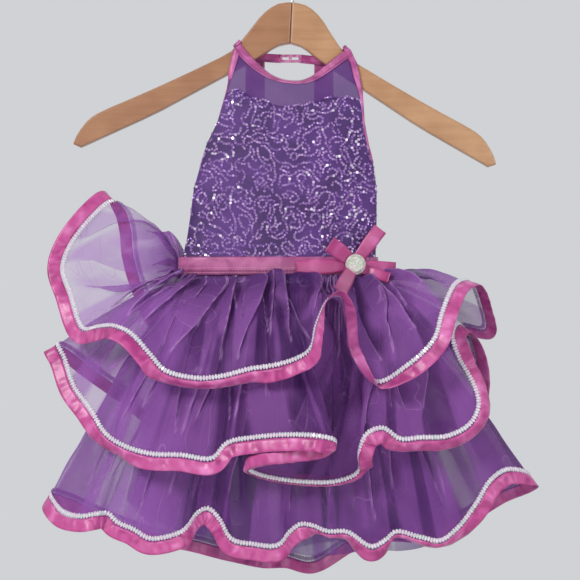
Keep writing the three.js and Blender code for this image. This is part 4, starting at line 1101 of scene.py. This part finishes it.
# ---- Clasp ---------------------------------------------------------------------------------------
# A clear plastic clasp between the two halves of the neck band: a moulded frame with a slot for each
# half and a bar in its middle.
clear = Finish("clear_plastic")
swirl = clear.noise(clear.place(), 260.0).between(0.3, 0.75)
clear_plastic = clear.surface(
    Base_Color=clear.mix(sRGB(190, 56, 136), sRGB(232, 168, 212), swirl),
    Alpha=0.5 + clear.noise(clear.place(), 200.0) * 0.4, Roughness=0.1, Specular_IOR_Level=0.8)
clasp_bm = bmesh.new()
bmesh.ops.create_grid(clasp_bm, x_segments=7, y_segments=3, size=0.5)
centres = {face: face.calc_center_median() for face in clasp_bm.faces}
slots = [face for face, at in centres.items() if abs(at.y) < 0.1 and 0.1 < abs(at.x) < 0.4]
bmesh.ops.delete(clasp_bm, geom=slots, context="FACES")
bmesh.ops.scale(clasp_bm, vec=(24 * MM, 8.5 * MM, 1), verts=clasp_bm.verts)
bmesh.ops.rotate(clasp_bm, matrix=Matrix.Rotation(math.radians(90), 3, "X"), verts=clasp_bm.verts)
bmesh.ops.translate(clasp_bm, vec=Vector((-4.5, BACK_Y - 1.2, -117)) * MM, verts=clasp_bm.verts)
bmesh.ops.solidify(clasp_bm, geom=clasp_bm.faces[:], thickness=1.6 * MM)
bmesh.ops.recalc_face_normals(clasp_bm, faces=clasp_bm.faces)
clasp = piece("clasp_frame", clasp_bm, clear_plastic, smooth=False)
stands_for(clasp, "clasp", "clasp")


# ---- Waistband -----------------------------------------------------------------------------------
# Pink elastic, nineteen millimetres wide, sewn round the waist with two rows of straight pale
# stitches near its lower edge.
BAND_OUT = 0.5 + 0.3 + 0.75 + 0.4
BAND_COLUMNS, BAND_TOP, BAND_FOOT = 192, -328, -347
around = np.linspace(0, 2, BAND_COLUMNS, endpoint=False)


def band_point(turn, z, out):
    angle = turn * math.pi
    at = waist_point(turn, z)
    direction = unit(np.stack([-np.cos(angle) / WAIST_HALF_WIDTH, -np.sin(angle) / WAIST_HALF_DEPTH,
                               0 * angle], -1))
    return at + direction * np.reshape(out, (-1, 1))


band_form = np.array([
    band_point(around, z, BAND_OUT + 0.5 * math.sin((z - BAND_FOOT) / 19 * math.pi)
               + 0.12 * np.sin(around * 160 + z))
    for z in np.linspace(BAND_TOP, BAND_FOOT, 9)])
WAIST_ELASTIC = spandex("pink_waist_elastic", sRGB(166, 78, 136), sRGB(198, 110, 164), 180)
elastic_band = sheet_mesh("waistband_elastic", band_form, True, WAIST_ELASTIC, 1.2)
stands_for(elastic_band, "waistband", "binding")

thread = Finish("cream_thread")
twist = thread.noise(thread.place(scale=(1, 1, 3)), 900.0)
cream = thread.surface(Base_Color=thread.mix(sRGB(216, 150, 182), sRGB(236, 190, 206), twist),
                       Roughness=0.6, Normal=thread.bump(twist, 0.0002))
stitch_bm = bmesh.new()
bmesh.ops.create_uvsphere(stitch_bm, u_segments=6, v_segments=4, radius=0.5 * MM)
bmesh.ops.scale(stitch_bm, vec=(1.7, 0.6, 0.45), verts=stitch_bm.verts)
stitch = bpy.data.meshes.new("stitch")
stitch_bm.to_mesh(stitch)
stitch_bm.free()
stitches = []
for height in (-339.6, -344.8):
    ring = band_point(np.linspace(0, 2, 1200, endpoint=False), height, BAND_OUT + 1.15)
    place = distance_along(ring)
    for spot in np.arange(0, place[-1] - 1, 2.5):
        i = min(int(np.searchsorted(place, spot)), len(ring) - 2)
        side = ring[i + 1] - ring[i]
        stitches.append(placement(ring[i], side, np.cross(side, (0, 0, 1)) * -1))
sewing = scattered("waistband_stitches", stitch, stitches, cream)


# ---- Bow -----------------------------------------------------------------------------------------
# Six strips of pink satin ribbon fanned round a button and tacked to the waistband, the loops
# pressed flat. The lower left tail stands forward with the cloth that it lies on.
BOW_CENTRE = (63, -336)
# Each strip: where it starts and ends from the middle of the button, its widths there, how many lie
# under it, how far its end comes forward, and how late it does so.
BOW = (
    ("bow_tail_left", (-3, -1), (-62, -4), (11, 16), 0, 1, 2.4),
    ("bow_tail_right", (3, 0), (43, -3), (9, 11), 0, 1, 2.4),
    ("bow_loop_upper_left", (-2, 3), (-27, 21), (12, 17), 1, 9, 2.4),
    ("bow_loop_lower_right", (2, -3), (34, -14), (9, 11), 1, 26, 2.4),
    ("bow_tail_upper_right", (1, 3), (26, 37), (11, 15), 2, 8, 2.4),
    ("bow_tail_lower_left", (-2, -3), (-18, -28), (11, 15), 2.6, 64, 1.35),
)


def bow_base(x, z):
    def share(reach):
        return math.sqrt(max(1 - ((reach - WAIST_CENTRE) / WAIST_HALF_WIDTH) ** 2, 0))
    middle = WAIST_HALF_DEPTH * share(BOW_CENTRE[0])
    y = WAIST_HALF_DEPTH * share(x) if x < BOW_CENTRE[0] else middle - 0.24 * (x - BOW_CENTRE[0])
    return np.array([x, -y - BAND_OUT - 0.75, z])


# The bow's light, middle and shade colours are its painted sheen.
BOW_SATIN = satin("pink_satin_bow", sRGB(228, 122, 188), sRGB(200, 82, 148),
                  sRGB(172, 58, 124), (2.4, 0.5))
for name, (x0, z0), (x1, z1), (w0, w1), level, forward, curve in BOW:
    start = np.array([BOW_CENTRE[0] + x0, BOW_CENTRE[1] + z0], float)
    run = np.array([x1 - x0, z1 - z0], float)
    side = np.array([-run[1], run[0]]) / np.linalg.norm(run)
    out = 1.2 + level * 1.55
    rows = []
    for half in np.linspace(0.5, -0.5, 7):
        row = []
        for t in np.linspace(0, 1, 25):
            width = w0 + (w1 - w0) * min(1, t * 2)
            x, z = start + run * t + side * half * width
            swell = 0.6 * math.sin(math.pi * t) * (1 - 4 * half * half)
            row.append(bow_base(x, z) + (0, -out - forward * t ** curve - swell, 0))
        rows.append(row)
    strip = sheet_mesh(name + "_satin", np.array(rows), False, BOW_SATIN, 0.4)
    stands_for(strip, name, "ribbon")
    length = np.linalg.norm(np.diff(rows[3], axis=0), axis=1).sum()


# ---- Glitter button ------------------------------------------------------------------------------
# A moulded resin button packed with iridescent glitter. Each flake has its own tint and shine.
glitter = Finish("iridescent_glitter")
flakes = glitter.cells(glitter.place(), 900.0, feature="F1")
sparkle = glitter.node("ShaderNodeSeparateColor", {}, {0: flakes["Color"]})
flake_tint = glitter.node("ShaderNodeValToRGB", {"stops": (
    (0.0, sRGB(176, 214, 176)), (0.4, sRGB(214, 226, 204)), (0.7, sRGB(236, 214, 226)),
    (1.0, sRGB(250, 250, 250)))}, {0: sparkle["Red"]})["Color"]
finished("bow_button", glitter.surface(
    Base_Color=flake_tint, Metallic=sparkle["Green"] * 0.5, Roughness=sparkle["Blue"] * 0.4 + 0.12,
    Normal=glitter.bump(flakes["Distance"], 0.0006), Coat_Weight=0.4))


# ---- Light, floor and camera ---------------------------------------------------------------------
# A room that is pale behind the dress and darker on the camera's side, a soft window light high on
# the left and two fills. The floor lies well below the hem; the camera looks straight at the front.
world = bpy.data.worlds.new("studio")
bpy.context.scene.world = world
room = Finish("studio", world)
facing = room.parts(room.node("ShaderNodeTexCoord")["Generated"])["Y"]
shade = room.node("ShaderNodeValToRGB", {"stops": (
    (0.25, sRGB(120, 118, 120)), (0.75, sRGB(208, 210, 213)))}, {0: facing * 0.5 + 0.5})["Color"]
glow = room.node("ShaderNodeBackground", {}, {"Color": shade})["Background"]
room.node("ShaderNodeOutputWorld", {}, {"Surface": glow})


def lamp(name, at, size, power, colour):
    light = bpy.data.lights.new(name, "AREA")
    light.shape, light.size, light.energy, light.color = "DISK", size, power, colour
    holder = bpy.data.objects.new(name, light)
    holder.location = at
    holder.rotation_euler = (Vector((0, 0, -0.36)) - Vector(at)).to_track_quat("-Z", "Y").to_euler()
    bpy.context.scene.collection.objects.link(holder)


lamp("window", (-1.1, -1.6, 0.7), 0.7, 23, (1.0, 0.98, 0.96))
lamp("fill", (0.15, -1.7, -0.7), 1.3, 8.5, (1.0, 0.98, 0.98))
lamp("room", (1.5, -1.2, 0.3), 1.0, 7, (0.96, 0.98, 1.0))

floor_bm = bmesh.new()
bmesh.ops.create_grid(floor_bm, x_segments=1, y_segments=1, size=2.0)
bmesh.ops.translate(floor_bm, vec=(0, 0, -1.5), verts=floor_bm.verts)
floor_finish = Finish("pale_floor")
floor = bpy.data.objects.new("floor", bpy.data.meshes.new("floor"))
floor_bm.to_mesh(floor.data)
floor_bm.free()
floor.data.materials.append(floor_finish.surface(Base_Color=sRGB(214, 214, 214), Roughness=0.8))
bpy.context.scene.collection.objects.link(floor)

camera = bpy.data.objects.new("camera", bpy.data.cameras.new("camera"))
camera.data.lens, camera.data.sensor_width = 82.4, 36
camera.location = (-0.00495, -1.4, -0.3626)
camera.rotation_euler = (math.radians(90), 0, 0)
camera.data.clip_start, camera.data.clip_end = 0.05, 20
bpy.context.scene.collection.objects.link(camera)
bpy.context.scene.camera = camera
bpy.context.scene.view_settings.view_transform = "Standard"
bpy.context.scene.cycles.transparent_max_bounces = 40
